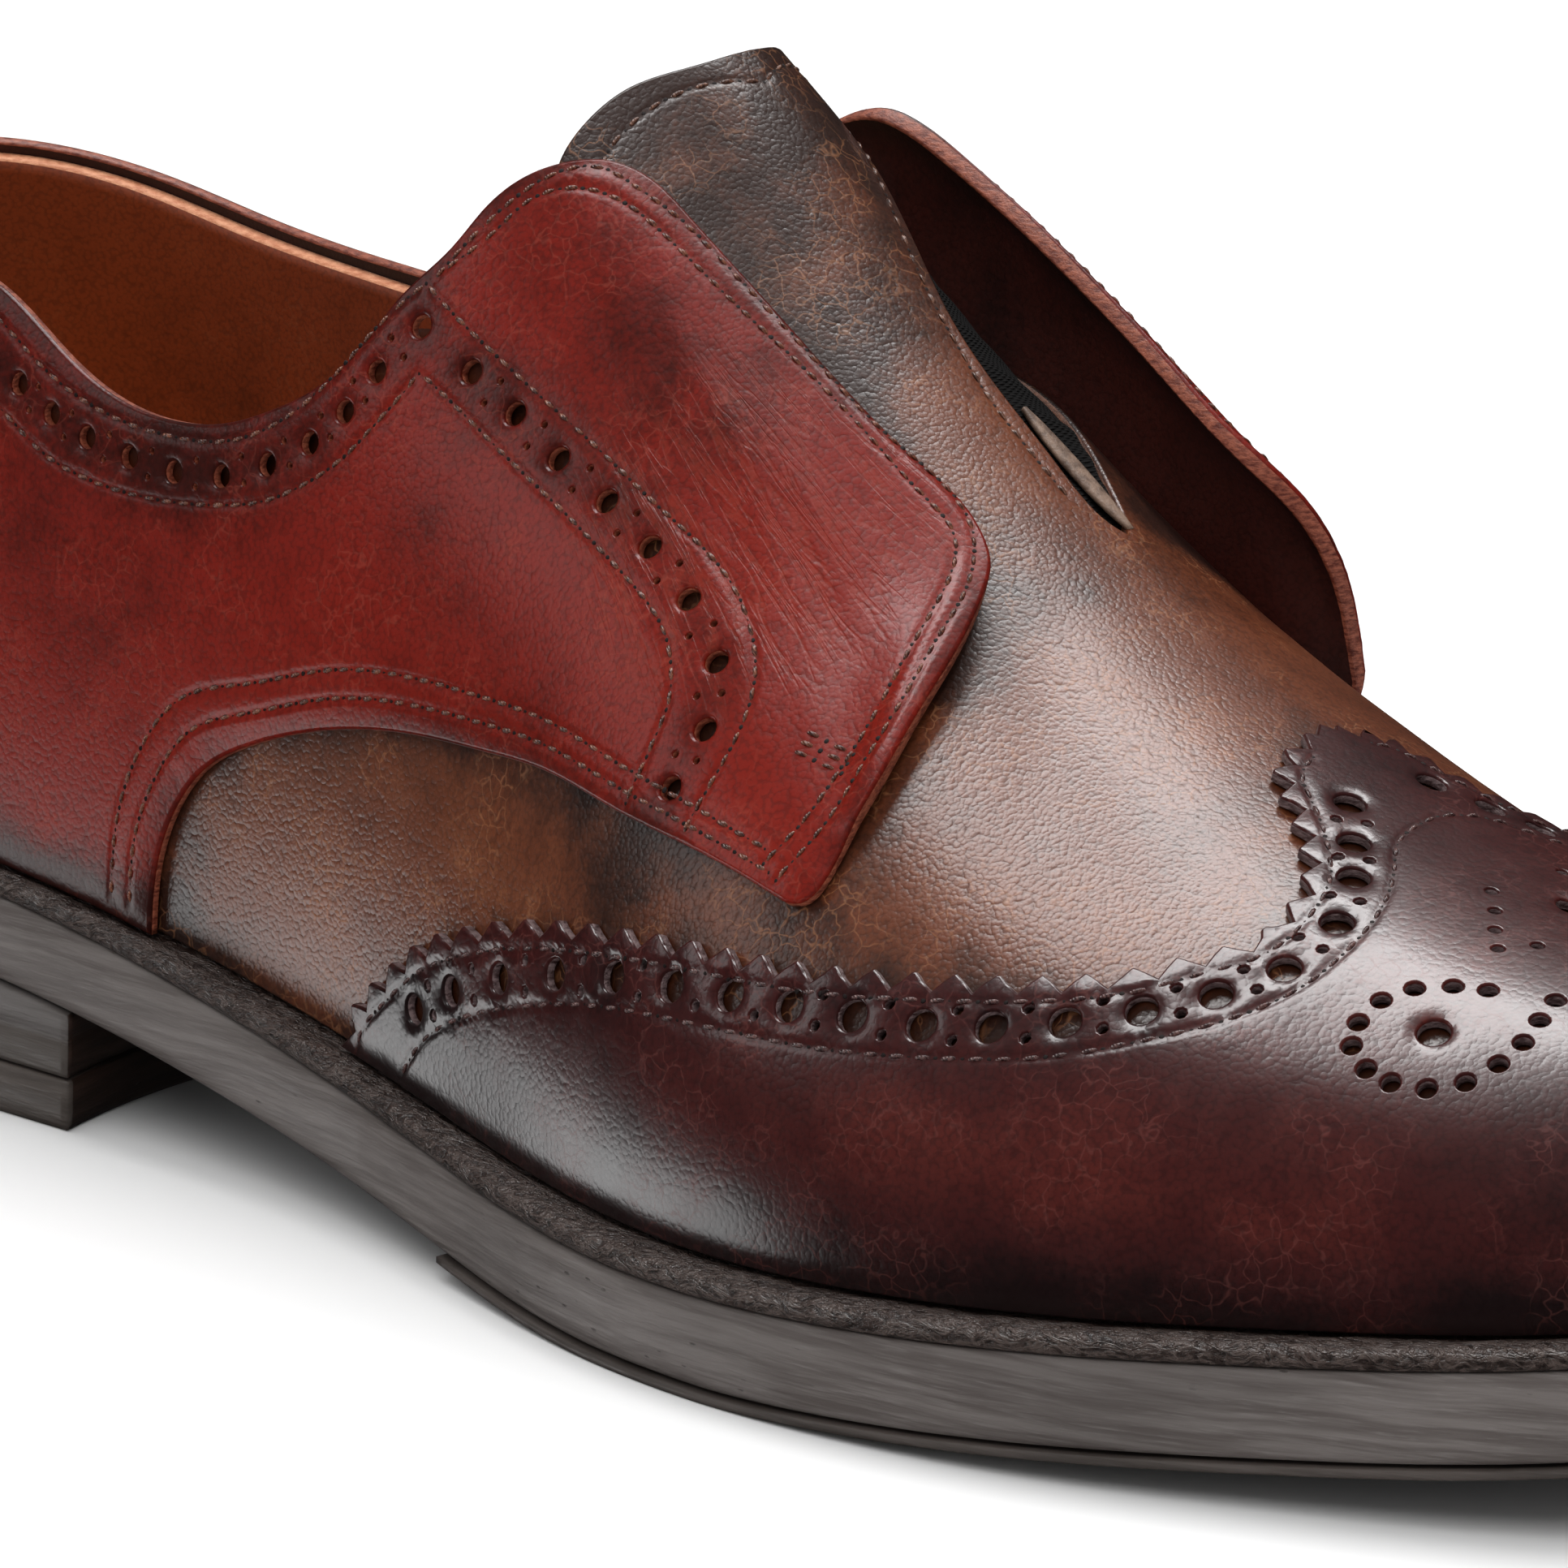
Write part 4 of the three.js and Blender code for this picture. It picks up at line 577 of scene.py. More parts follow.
def quarter_panel(side):
    flip = (lambda q: q) if side > 0 else mirror
    edge = FLAP_EDGE[:-1] + COLLAR_EDGE if side > 0 else MED_TOP
    segs = [path([(0.0, .0), (2.8, .0), (5.53, .0)], 1.6, sharp=True), path(LOWER_EDGE, .8), path(edge, .8), path([(0, .405), (0, .2), (0, .0)], 1.2, sharp=True)]
    loop = flip(np.concatenate([s[:-1] for s in segs]))
    holes = []
    for line, R, pitch in ((COL_HOLES, 1.18, 1), (FAC_HOLES, 1.22, 1)):
        q = flip(np.array(line)); p = at(q[:, 0], q[:, 1]); nn = N(*wrap(q[:, 0], q[:, 1])); tg = unit(np.gradient(p, axis=0)); sd = np.cross(nn, tg)
        for (u, t) in q: holes.append((u, t, R))
        mid = .5*(q[1:] + q[:-1]); ms = .5*(sd[1:] + sd[:-1])
        for o in (1.35, -1.35):
            a, b = shift(mid[:, 0], mid[:, 1], ms*o)
            for u, t in zip(a, b): holes.append((u, t, .37))
    holes = [(u, t, R) for u, t, R in holes if not (R > 1 and (min(u, 32 - u) < .05))]      # the back seam
    lines = [flip(np.array(l)) for l in (COL_ST1, COL_ST2, FAC_OUT, FAC_IN, FLAP_ST1, FLAP_ST2, LOW_ST, LOW_ST2)]
    if side < 0:
        # the medial edge runs a little lower: its rows follow it
        top = Spl([r[0] for r in COLLAR], [(r[2] - r[1]) for r in COLLAR])
        for l in lines[:2]: l[:, 1] += np.interp(32 - l[:, 0], [r[0] for r in COLLAR], [r[2] - r[1] for r in COLLAR])
        holes = [(u, t + (np.interp(32 - u, [r[0] for r in COLLAR], [r[2] - r[1] for r in COLLAR]) if 32 - u < 7 else 0), R) for u, t, R in holes]
        a, b = np.array(FLAP_ST1), np.array(FLAP_ST2)
        for q in (a, b): q[:, 1] += np.interp(q[:, 0], [7.1, 7.3, 8.4, 9.0, 9.58, 9.9, 10.06], [-.018, -.026, -.026, -.030, -.041, -.044, -.02])*smooth((q[:, 1] - .5)/.14)
        lines[4], lines[5] = mirror(a), mirror(b)
    st3 = polyline(lines); rim3 = S(*wrap(loop[:, 0], loop[:, 1]))
    big = [h for h in holes if h[2] > 1]; hb3 = S(*wrap(np.array([h[0] for h in big]), np.array([h[1] for h in big])))
    def top(U, t, P):
        rise = quarter_lift(U, t, side)
        h = 1.75 + rise*LIFT[side] + np.minimum(1, rise*2)*.6
        ds, de, dh = dist_to(P, st3), dist_to(P, rim3), dist_to(P, hb3)
        h -= .16*np.exp(-(ds/.42)**2) - .05*np.exp(-((ds - 1.3)/.7)**2)
        h -= .30*np.exp(-(de/1.1)**2) + .14*np.exp(-(np.maximum(dh - 1.2, 0)/.6)**2)
        # soft creases that fan over the flap towards its front, and the broad hollow behind the facing
        for (u0, t0, u1, t1, w, d) in FLAP_CREASES:
            a, b = S(*wrap(*map(np.atleast_1d, (u0 if side > 0 else 32 - u0, t0))))[0], S(*wrap(*map(np.atleast_1d, (u1 if side > 0 else 32 - u1, t1))))[0]
            ab = b - a; k = np.clip(((P - a) @ ab)/(ab @ ab), 0, 1); dd = np.linalg.norm(P - a - k[:, None]*ab, axis=1)
            h -= d*np.exp(-(dd/w)**2)*np.sin(np.pi*np.clip(k, .02, .98))**.5
        return h
    def bottom(U, t, P):
        rise = quarter_lift(U, t, side); return .12 + rise*LIFT[side]
    strip3 = np.concatenate([S(*wrap(*flip(np.array(l)).T)) for l in (path(COL_HOLES, 1.5), path(FAC_HOLES, 1.5))])
    smudge = S(*wrap(*flip(np.array([(7.9, .69), (8.2, .66), (7.6, .70), (8.6, .70)])).T)); smudge2 = S(*wrap(*flip(np.array([(4.6, .2), (5.0, .17), (9.0, .70)])).T))
    def tone(U, t, P):
        Q = S(U, t); ds, de = dist_to(Q, strip3), dist_to(Q, rim3)
        T = np.zeros((len(U), 3))
        T[:, 0] = .36*np.exp(-(ds/4.4)**2) + .26*np.exp(-(de/2.2)**2) + .24*np.exp(-(dist_to(Q, smudge)/8.)**2) + .10*np.exp(-(dist_to(Q, smudge2)/9)**2) + .5*np.exp(-(t/.035)**2)
        T[:, 2] = .22*np.exp(-((np.minimum(U, 32 - U) - 9.4)/.6)**2) + .10*smooth((.22 - t)/.1)
        T[:, 1] = .35*np.exp(-(t/.02)**2)
        return T
    name = 'quarter_lateral_leather' if side > 0 else 'quarter_medial_leather'
    o = panel(name, loop, top, bottom, chart_side, [M_QUART, M_QEDGE, M_QUARTER_INSIDE_SHADE], step=1.9, r=.42, holes=holes, rows=[(l, (0, .45, -.45, .95, -.95)) for l in lines], rowstep=1.1, tone=tone)
    return o, lines, top

# creases of the flap: start (U, t), end (U, t), half width and depth in millimetres
FLAP_CREASES = [(7.75, .705, 9.20, .640, 1.5, .16), (7.95, .735, 9.35, .690, 1.3, .12), (8.30, .645, 9.65, .585, 1.6, .18), (8.75, .700, 9.75, .640, 1.2, .13),
                (8.9, .620, 9.75, .530, 1.5, .15), (7.45, .640, 8.35, .610, 1.8, .13), (9.1, .75, 9.8, .69, 1.1, .10)]

def stitches(name, specs, mat, width=.46, pitch=2.15, length=1.62):
    """Thread between needle holes: short six-sided twisted segments that dive at both ends. specs: (path, height function)."""
    k = 6; sec = np.linspace(-1, 1, 7); th = np.linspace(0, 2*np.pi, k, endpoint=False)
    prof = np.array([.30, .78, 1., 1.03, 1., .78, .30]); dip = np.array([-.34, -.10, .03, .06, .03, -.10, -.34])
    V, F, HV = [], [], []
    for pth, hf in specs:
        q = path(pth, pitch/8); U, t = wrap(q[:, 0], q[:, 1]); P0 = S(U, t); n = N(U, t); P = P0 + n*hf(U, t, P0)[:, None]
        A = np.concatenate([[0], np.cumsum(np.linalg.norm(np.diff(P, axis=0), axis=1))]); m = max(int(A[-1]/pitch), 1); c = (np.arange(m) + .5)*A[-1]/m
        ip = lambda a, s: np.stack([np.interp(s, A, a[:, j]) for j in range(3)], -1)
        for s0 in c:
            s = s0 + sec*length/2; C = ip(P, s); nn = unit(ip(n, s)); tg = unit(np.gradient(C, axis=0)); sd = np.cross(nn, tg)
            slant = sec*.06; wv = width/2*(1 + .08*RNG.standard_normal())
            C = C + nn*(dip + .05)[:, None] + sd*slant[:, None]
            ring = C[:, None] + (np.cos(th)[None, :, None]*sd[:, None]*wv + np.sin(th)[None, :, None]*nn[:, None]*wv*.72)*prof[:, None, None]
            V.append(ring.reshape(-1, 3))
            h0 = ip(P, np.array([s0 + A[-1]/m/2]))[0]; hn = unit(ip(n, np.array([s0 + A[-1]/m/2])))[0]; ht = unit(ip(P, np.array([s0 + A[-1]/m/2 + .2]))[0] - ip(P, np.array([s0 + A[-1]/m/2 - .2]))[0] + 1e-9)
            HV.append((h0, hn, ht))
    nv = len(sec)*k; i = np.arange(k); j = (i + 1) % k; one = []
    for a in range(len(sec) - 1): one += np.stack([a*k + i, a*k + j, (a + 1)*k + j, (a + 1)*k + i], -1).tolist()
    one += [list(range(k))[::-1], list(range(nv - k, nv))]
    F = [[v + b*nv for v in f] for b in range(len(V)) for f in one]
    o = new_object(name, np.concatenate(V), F, [mat]); return o, HV

def pricks(name, HV, w=.34, l=.30):
    """Needle holes between the stitches: flat dark lens shapes let into the leather; their dark colour is painted shade
    of the holes.
    """
    k = 8; th = np.linspace(0, 2*np.pi, k, endpoint=False); V, F = [], []; nv = 2*k + 2
    for b, (c, n, t) in enumerate(HV):
        s = np.cross(n, t); lv = []
        for rr, hh in ((1., .0), (.7, .05)): lv.append(c + (np.cos(th)[:, None]*t*l + np.sin(th)[:, None]*s*w)*rr + n*(hh - .02))
        V.append(np.concatenate(lv + [[c + n*.055], [c - n*.12]]))
        for i in range(k):
            j = (i + 1) % k; F += [[b*nv + i, b*nv + j, b*nv + k + j, b*nv + k + i], [b*nv + k + i, b*nv + k + j, b*nv + 2*k], [b*nv + j, b*nv + i, b*nv + 2*k + 1]]
    return new_object(name, np.concatenate(V), F, [M_NEEDLE_SHADE])

PIECES = []
def done(o, slot, *nodes):
    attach(o, 'root')
    if nodes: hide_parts(*nodes)
    PIECES.append(o)

# ---------------------------------------------------------------- quarters
needle = []
ql, lat_lines, lat_top = quarter_panel(1); done(ql, 'quarter', 'quarter_lateral')
qm, med_lines, med_top = quarter_panel(-1); done(qm, 'quarter', 'quarter_medial')
bars = [(np.array(BAR) + [0, d], lat_top) for d in (.0, .012, -.012)]
st, hv = stitches('quarter_stitching', [(l, lat_top) for l in lat_lines] + [(l, med_top) for l in med_lines] + bars + [(mirror(b[0]), med_top) for b in bars], M_TH_Q, pitch=2.45, length=1.92); done(st, 'thread'); needle += hv

# ---------------------------------------------------------------- wingtip cap with a pinked edge
def pinked(side):
    q = path(CAP_EDGE, .25); P = at(q[:, 0], q[:, 1]); A = np.concatenate([[0], np.cumsum(np.linalg.norm(np.diff(P, axis=0), axis=1))])
    tg = unit(np.gradient(P, axis=0)); inw = -np.cross(N(*wrap(q[:, 0], q[:, 1])), tg)
    s, pts = 3.0, [q[0]]
    while s < A[-1] - 2.2:
        i = int(np.searchsorted(A, s)); x = P[i, 0]; pitch = float(np.interp(x, [135, 150, 172, 190], [4.4, 5.6, 5.0, 4.3]))
        for f, dep in ((.0, 2.0), (.25, 1.0), (.46, .16), (.54, .16), (.75, 1.0)):
            j = min(int(np.searchsorted(A, s + f*pitch)), len(q) - 1); a, b = shift(q[j:j+1, 0], q[j:j+1, 1], inw[j:j+1]*dep); pts.append(np.array([a[0], b[0]]))
        s += pitch
    pts.append(q[-1]); return np.array(pts)
edge = pinked(1); e2 = edge[:-1].copy(); e2[:, 0] = 32 - e2[:, 0]
foot = path([(25.02, .0), (22, .0), (19, .0), (16, .0), (13, .0), (10, .0), (6.98, .0)], 1.5, sharp=True)
cap_loop = np.concatenate([edge, e2[::-1], foot[1:-1]])
cap_holes = []
for q, R in ((np.array(CAP_HOLES), 1.62),):
    p = at(q[:, 0], q[:, 1]); nn = N(*wrap(q[:, 0], q[:, 1])); tg = unit(np.gradient(p, axis=0)); sd = np.cross(nn, tg)
    rr = np.interp(p[:, 0], [138, 165, 200, 240], [1.5, 1.6, 1.62, 1.6])
    for (u, t), r_ in zip(q, rr): cap_holes.append((u, t, r_))
    mid = .5*(q[1:] + q[:-1]); ms = .5*(sd[1:] + sd[:-1])
    for o in (1.5, -1.5):
        a, b = shift(mid[:, 0], mid[:, 1], ms*o)
        for u, t in zip(a, b): cap_holes.append((u, t, .56))
for u, t in RING: cap_holes.append((u, t, .92))
for u, t in COLUMN: cap_holes.append((u, t, .62))
cap_holes.append((13.36, .581, 1.6))
cap_holes += [(32 - u, t, R) for u, t, R in cap_holes]
cap_holes.append((13.42, 1.0, 1.7))
# nothing may touch: drop small holes that come too near another or too near the edge
_c = S(*wrap(np.array([h[0] for h in cap_holes]), np.array([h[1] for h in cap_holes]))); _e = S(*wrap(cap_loop[:, 0], cap_loop[:, 1])); keep_ = []
for i, h in enumerate(cap_holes):
    ok = np.linalg.norm(_e - _c[i], axis=1).min() > h[2] + .9
    for j in keep_: ok &= np.linalg.norm(_c[i] - _c[j]) > h[2] + cap_holes[j][2] + .9
    if ok: keep_.append(i)
cap_holes = [cap_holes[i] for i in keep_]
def inset_path(points, d):
    q = path(points, .8); P = at(q[:, 0], q[:, 1]); tg = unit(np.gradient(P, axis=0)); inw = -np.cross(N(*wrap(q[:, 0], q[:, 1])), tg)
    a, b = shift(q[:, 0], q[:, 1], inw*d); return np.stack([a, b], -1)
cs1 = inset_path(CAP_EDGE, 3.0); cs1 = cs1[(cs1[:, 1] < .97) & (cs1[:, 0] < 16)][::3]
cs1[0, 1] = max(cs1[0, 1], .008)
cap_lines = both(cs1) + both(CAP_ST_LOW)
cap_st3 = polyline(cap_lines); cap_rim3 = S(*wrap(cap_loop[:, 0], cap_loop[:, 1])); cap_big = [h for h in cap_holes if h[2] > 1.2]
cap_hb3 = S(*wrap(np.array([h[0] for h in cap_big]), np.array([h[1] for h in cap_big])))
def cap_top(U, t, P):
    ds, de, dh = dist_to(P, cap_st3), dist_to(P, cap_rim3), dist_to(P, cap_hb3)
    h = np.full(len(U), 1.55) - .17*np.exp(-(ds/.45)**2) + .05*np.exp(-((ds - 1.4)/.8)**2)
    h -= .12*np.exp(-(de/.8)**2) + .22*np.exp(-(np.maximum(dh - 1.6, 0)/.65)**2)
    return h
def cap_tone(U, t, P):
    Q = S(U, t); T = np.zeros((len(U), 3)); strip = S(*wrap(*np.array(CAP_HOLES + [tuple(x) for x in mirror(CAP_HOLES)]).T))
    i = np.minimum(U, 32 - U)
    T[:, 0] = .30*np.exp(-(dist_to(Q, strip)/4.5)**2) + .5*smooth((.16 - t)/.14) + .35*smooth((i - 13.9)/1.6)
    T[:, 2] = .55*np.exp(-((i - 11.6)/1.5)**2 - ((t - .20)/.13)**2) + .35*np.exp(-((i - 13.)/.9)**2 - ((t - .62)/.2)**2)
    T[:, 1] = .3*np.exp(-(t/.02)**2)
    return T
cap = panel('wingtip_cap_leather', cap_loop, cap_top, lambda U, t, P: np.full(len(U), .12), chart_top, [M_CAP, M_CEDGE, M_CEDGE], step=1.7, r=.28, holes=cap_holes,
            rows=[(l, (0, .45, -.45, .95, -.95)) for l in cap_lines], rowstep=1.1, tone=cap_tone)
done(cap, 'cap', 'toe_cap')
st, hv = stitches('cap_stitching', [(l, cap_top) for l in cap_lines], M_TH_C, width=.46, pitch=2.85, length=2.2); done(st, 'thread'); needle += hv

# ---------------------------------------------------------------- vamp, in one with the tongue
hidden = [(5.1, .0), (5.1, .13), (5.6, .24), (6.3, .33), (7.1, .42), (7.6, .52), (8.1, .61), (8.55, .68), (8.93, .765), (9.18, .825)]
tside = [(9.22, .862), (9.05, .846), (8.85, .812), (8.5, .768), (8.0, .728), (7.5, .700), (7.24, .680)]
hidden_lat = hidden[:8] + [(8.90, .733), (9.05, .768)]; tside_lat = [(9.10, .793), (9.02, .796), (8.85, .786), (8.5, .762), (8.0, .726), (7.5, .698), (7.24, .680)]
hidden_med = hidden[:7] + [(8.6, .69), (9.1, .785), (9.5, .87), (9.82, .935)]
tside_med = [(9.93, .960), (9.86, .979), (9.5, .984), (9.1, .978), (8.77, .960), (8.38, .912), (7.9, .84), (7.5, .765), (7.24, .710)]
TONGUE_TOP_M = [(7.24, .710), (7.18, .745), (7.20, .79), (7.25, .845), (7.33, .905), (7.375, .955), (7.385, 1.)]
def half_loop(hid, ts, tt): h = [path(hid, 1.2), path(ts, 1.0), path(tt, .8)]; return np.concatenate([q[:-1] for q in h] + [h[-1][-1:]])
hl = half_loop(hidden_lat, tside_lat, TONGUE_TOP); hm = half_loop(hidden_med, tside_med, TONGUE_TOP_M)[:-1]; hm[:, 0] = 32 - hm[:, 0]
vamp_loop = np.concatenate([hl, hm[::-1]])
foot = path([(26.9, .0), (24, .0), (21, .0), (18, .0), (16, .0), (14, .0), (11, .0), (8, .0), (5.1, .0)], 1.6, sharp=True)
vamp_loop = np.concatenate([vamp_loop, foot[1:-1]])
tongue_st = [(8.95, .872), (8.75, .838), (8.45, .800), (8.0, .762), (7.55, .742), (7.34, .745), (7.36, .806), (7.41, .881), (7.50, .962), (7.55, 1.)]
tongue_st_lat = [(7.95, .762), (7.6, .748), (7.38, .756)] + tongue_st[6:]
tongue_st_med = [(9.70, 1.012), (9.4, 1.012), (9.0, 1.004), (8.75, .985), (8.35, .937), (7.95, .868), (7.62, .805), (7.46, .79), (7.37, .815)] + tongue_st[7:]
vamp_lines = [tongue_st_lat, mirror(tongue_st_med)]
v_st3 = polyline(vamp_lines)
VAMP_CREASES = [(9.55, .90, 10.6, .62, 2.2, .12), (9.9, .93, 11.0, .60, 2.4, .10), (9.35, .55, 10.2, .40, 2.0, .08)]
def tongue_full(U, t):
    T = np.where(U > 16, 2 - t, t); i = np.minimum(U, 32 - U)
    return 1.8*smooth((8.9 - i)/1.4)*smooth((T - .78)/.30)*smooth((1.36 - T)/.16)
def vamp_top(U, t, P):
    i = np.minimum(U, 32 - U); h = .5*smooth((8.9 - i)/1.8)*smooth((t - .66)/.05) + tongue_full(U, t)
    h -= .14*np.exp(-(dist_to(P, v_st3)/.45)**2)
    for sgn in (1, -1):
        for (u0, t0, u1, t1, w, d) in VAMP_CREASES:
            a = S(*wrap(np.array([u0 if sgn > 0 else 32 - u0]), np.array([t0])))[0]; b = S(*wrap(np.array([u1 if sgn > 0 else 32 - u1]), np.array([t1])))[0]
            ab = b - a; k = np.clip(((P - a) @ ab)/(ab @ ab), 0, 1); dd = np.linalg.norm(P - a - k[:, None]*ab, axis=1); h -= d*np.exp(-(dd/w)**2)*np.sin(np.pi*k)
    return h
qlow3 = polyline([LOWER_EDGE, mirror(LOWER_EDGE)]); cedge3 = polyline(both(CAP_EDGE)); flap3 = polyline([FLAP_EDGE[:12], mirror(FLAP_EDGE[:12])])
def vamp_tone(U, t, P):
    Q = S(U, t); T = np.zeros((len(U), 3)); i = np.minimum(U, 32 - U)
    # red channel: darker near the quarter's lower edge, the cap edge and the flap edges, over the tongue and along the
    # foot; the darkening beside the flap edges is partly patina and partly painted shade of the lifted flaps
    T[:, 0] = .30*np.exp(-(dist_to(Q, qlow3)/5.)**2) + .22*np.exp(-(dist_to(Q, cedge3)/4.)**2) + .35*np.exp(-(dist_to(Q, flap3)/5.)**2) + .30*smooth((7.5 - i)/.4)*smooth((t - .6)/.05) + .55*smooth((9.4 - i)/.9)*smooth((t - .6)/.05) + .4*smooth((.05 - t)/.05)
    T[:, 2] = .35*np.exp(-((i - 8.6)/.9)**2 - ((t - 1.)/.16)**2) + .30*np.exp(-((i - 10.8)/.8)**2 - ((t - .62)/.14)**2) + .25*np.exp(-((i - 8.0)/1.)**2 - ((t - .2)/.06)**2)
    ce = np.array(CAP_EDGE); le = np.array(LOWER_EDGE); fe = np.array(FLAP_EDGE[2:])[::-1]; fe = fe[np.argsort(fe[:, 0])]
    # green channel: the vamp hidden under the cap and under the quarters goes near black, painted shade for the floors
    # of the perforations and the hollow under the lifted flaps; a dark line also runs along the foot
    under_cap_shade = smooth((i - np.interp(t, ce[:, 1], ce[:, 0]) - .12)/.12); under_quarter_shade = smooth((t - np.interp(i, le[:, 0], le[:, 1]) - .012)/.012)*smooth((np.interp(i, fe[:, 0], fe[:, 1]) - t - .012)/.012)*(i < 10.12)
    T[:, 1] = np.maximum(.3*np.exp(-(t/.02)**2), np.maximum(.92*under_cap_shade, .97*under_quarter_shade))
    return T
vamp = panel('vamp_and_tongue_leather', vamp_loop, vamp_top, lambda U, t, P: tongue_full(U, t) - 1.15 + .5*smooth((8.9 - np.minimum(U, 32 - U))/1.8)*smooth((t - .66)/.05), chart_top, [M_VAMP, M_VEDGE, M_LINING],
             step=2.0, r=.4, rows=[(l, (0, .45, -.45, .95, -.95)) for l in vamp_lines], rowstep=1.1, tone=vamp_tone)
done(vamp, 'vamp', 'tongue')
st, hv = stitches('tongue_stitching', [(l, vamp_top) for l in vamp_lines], M_TH_V, pitch=2.6, length=2.0); done(st, 'thread'); needle += hv
done(pricks('needle_holes', needle), 'thread')

# ---------------------------------------------------------------- lining: the whole inside of the upper
col_sp = Spl([r[0] for r in COLLAR], [(r[1], r[2]) for r in COLLAR])
def lining():
    left = np.concatenate([np.linspace(0, 6, 90), np.linspace(6, 9.2, 48)[1:]]); right = np.linspace(9.2, 16, 56); rows, rt = 36, 12
    idx = {}; T, B, C = [], [], []
    hid = np.array(hidden)
    def node(U, t, tag):
        i = min(U, 32 - U); shared = t > .9999
        if shared: U = i
        key = (round(U, 4), 'K' if shared else tag)
        if key not in idx:
            idx[key] = len(T); T.append((U, t, i)); B.append(0)
        return idx[key]
    for s in (1, -1):
        Uf = lambda i: i if s > 0 else (0 if i == 0 else 32 - i)
        def quad(a, b, c, d): C.append([a, b, c, d] if s > 0 else [d, c, b, a])
        for k in range(len(left) - 1):
            for j in range(rows):
                def n(i, r):
                    e = float(col_sp(np.array([i]))[0][0 if s > 0 else 1]); e -= .010 if i < 6.9 else .004
                    return node(Uf(i), .004 + (e - .004)*r/rows, r)
                quad(n(left[k], j), n(left[k+1], j), n(left[k+1], j+1), n(left[k], j+1))
        for k in range(len(right) - 1):
            for j in range(rows + rt):
                def n(i, r): return node(Uf(i), .004 + (.836 - .004)*r/rows if r <= rows else .836 + (1 - .836)*(r - rows)/rt, r)
                quad(n(right[k], j), n(right[k+1], j), n(right[k+1], j+1), n(right[k], j+1))
    A = np.array(T); U, t, i = A.T; tv = np.interp(i, hid[:, 0], hid[:, 1], left=-.1, right=2.)
    out = np.where(i < 5.1, .05, -1.2 + 1.25*smooth((t - tv - .02)/.05)); n_ = N(*wrap(U, t)); P = S(*wrap(U, t))
    wall = np.full(len(i), 1.98)
    # the lining's outer face, seen only down the quarter's perforations, goes near black behind the quarters: painted
    # shade
    return shell('upper_lining', P + n_*out[:, None], P - n_*wall[:, None], C, [M_LINING, M_LEDGE], rim_mat=1, tone=np.stack([0*t, np.where(i < 9.2, .95, 0.), 0*t], -1))
done(lining(), 'lining', 'upper')

# ---------------------------------------------------------------- gussets of black elastic and their leather stays
def strip_shell(name, f, na, nb, mats):
    T, B, C = [], [], []
    for a in range(na + 1):
        for b in range(nb + 1): x, y = f(a/na, b/nb); T.append(x); B.append(y)
    for a in range(na):
        for b in range(nb): i = a*(nb + 1) + b; C.append([i, i + nb + 1, i + nb + 2, i + 1])
    return shell(name, np.array(T), np.array(B), C, mats)
for side, nm in ((1, 'gusset_lateral'), (-1, 'gusset_medial')):
    ts = np.array((tside_lat if side > 0 else tside_med)[::-1]); ts = ts[np.argsort(ts[:, 0])]
    def f(a, b):
        u = lerp(7.34, 8.98 if side > 0 else 9.86, a); hi = float(np.interp(u, ts[:, 0], ts[:, 1])) + .008
        lo = float(col_sp(np.array([u]))[0][0]) - .02 if side > 0 else float(np.interp(u, [7.32, 8.8, 9.1, 9.5, 9.86], [.548, .74, .77, .855, .93]))
        t = lerp(lo, max(hi, lo + .01), b); q = np.array([u if side > 0 else 32 - u]), np.array([t]); rip = .10*math.sin(a*70) - .4*math.sin(math.pi*b); w = .8*(1 - b)*float(smooth((9.3 - u)/.5))
        return at(q[0], q[1], -.45 + rip - w)[0], at(q[0], q[1], -1.1 + rip - w)[0]
    band = strip_shell(nm + '_elastic', f, 80, 14, [M_ELASTIC]); done(band, 'elastic', nm)
    def f2(a, b):
        u = lerp(8.1, 9.02, a) if side > 0 else lerp(9.22, 9.90, a); w = (.030 if side > 0 else .021)*math.sin(math.pi*min(max(a, .02), .98))**.5
        m = (.745 + .03*a) if side > 0 else (.957 - .012*a); t = m + (b - .5)*2*w; e = .30*(1 - abs(2*b - 1)**4)*math.sin(math.pi*min(max(a, .02), .98))**.3
        q = np.array([u if side > 0 else 32 - u]), np.array([t]); return at(q[0], q[1], .05 + e)[0], at(q[0], q[1], -.35)[0]
    done(strip_shell(nm + '_stay', f2, 30, 10, [M_STAY]), 'vamp')

# ---------------------------------------------------------------- bottom: welt, outsole, rubber, heel
NP = 760
UU = np.linspace(0, 32, NP, endpoint=False)
_dense = np.linspace(0, 32, 6000); _o = outline(_dense, 1.); _s = np.concatenate([[0], np.cumsum(np.linalg.norm(np.diff(_o, axis=0), axis=1))]); UU = np.interp(np.linspace(0, _s[-1], NP, endpoint=False), _s, _dense)
ARC = np.linspace(0, _s[-1], NP, endpoint=False)
ZF = featherz(feather(UU)[:, 0])
def wob(*terms): return sum(a*np.sin(ARC*2*np.pi/p + q) for a, p, q in terms)
def ring_at(share, extra, dz): xy = outline(UU, share, extra + np.zeros(NP)); return np.c_[xy, featherz(np.clip(xy[:, 0], 0, 304)) + dz]
wr = lambda k: wob((.05, 7.3, k), (.04, 3.1, 2*k), (.03, 1.9, 3*k), (.06, 17., k + 1))
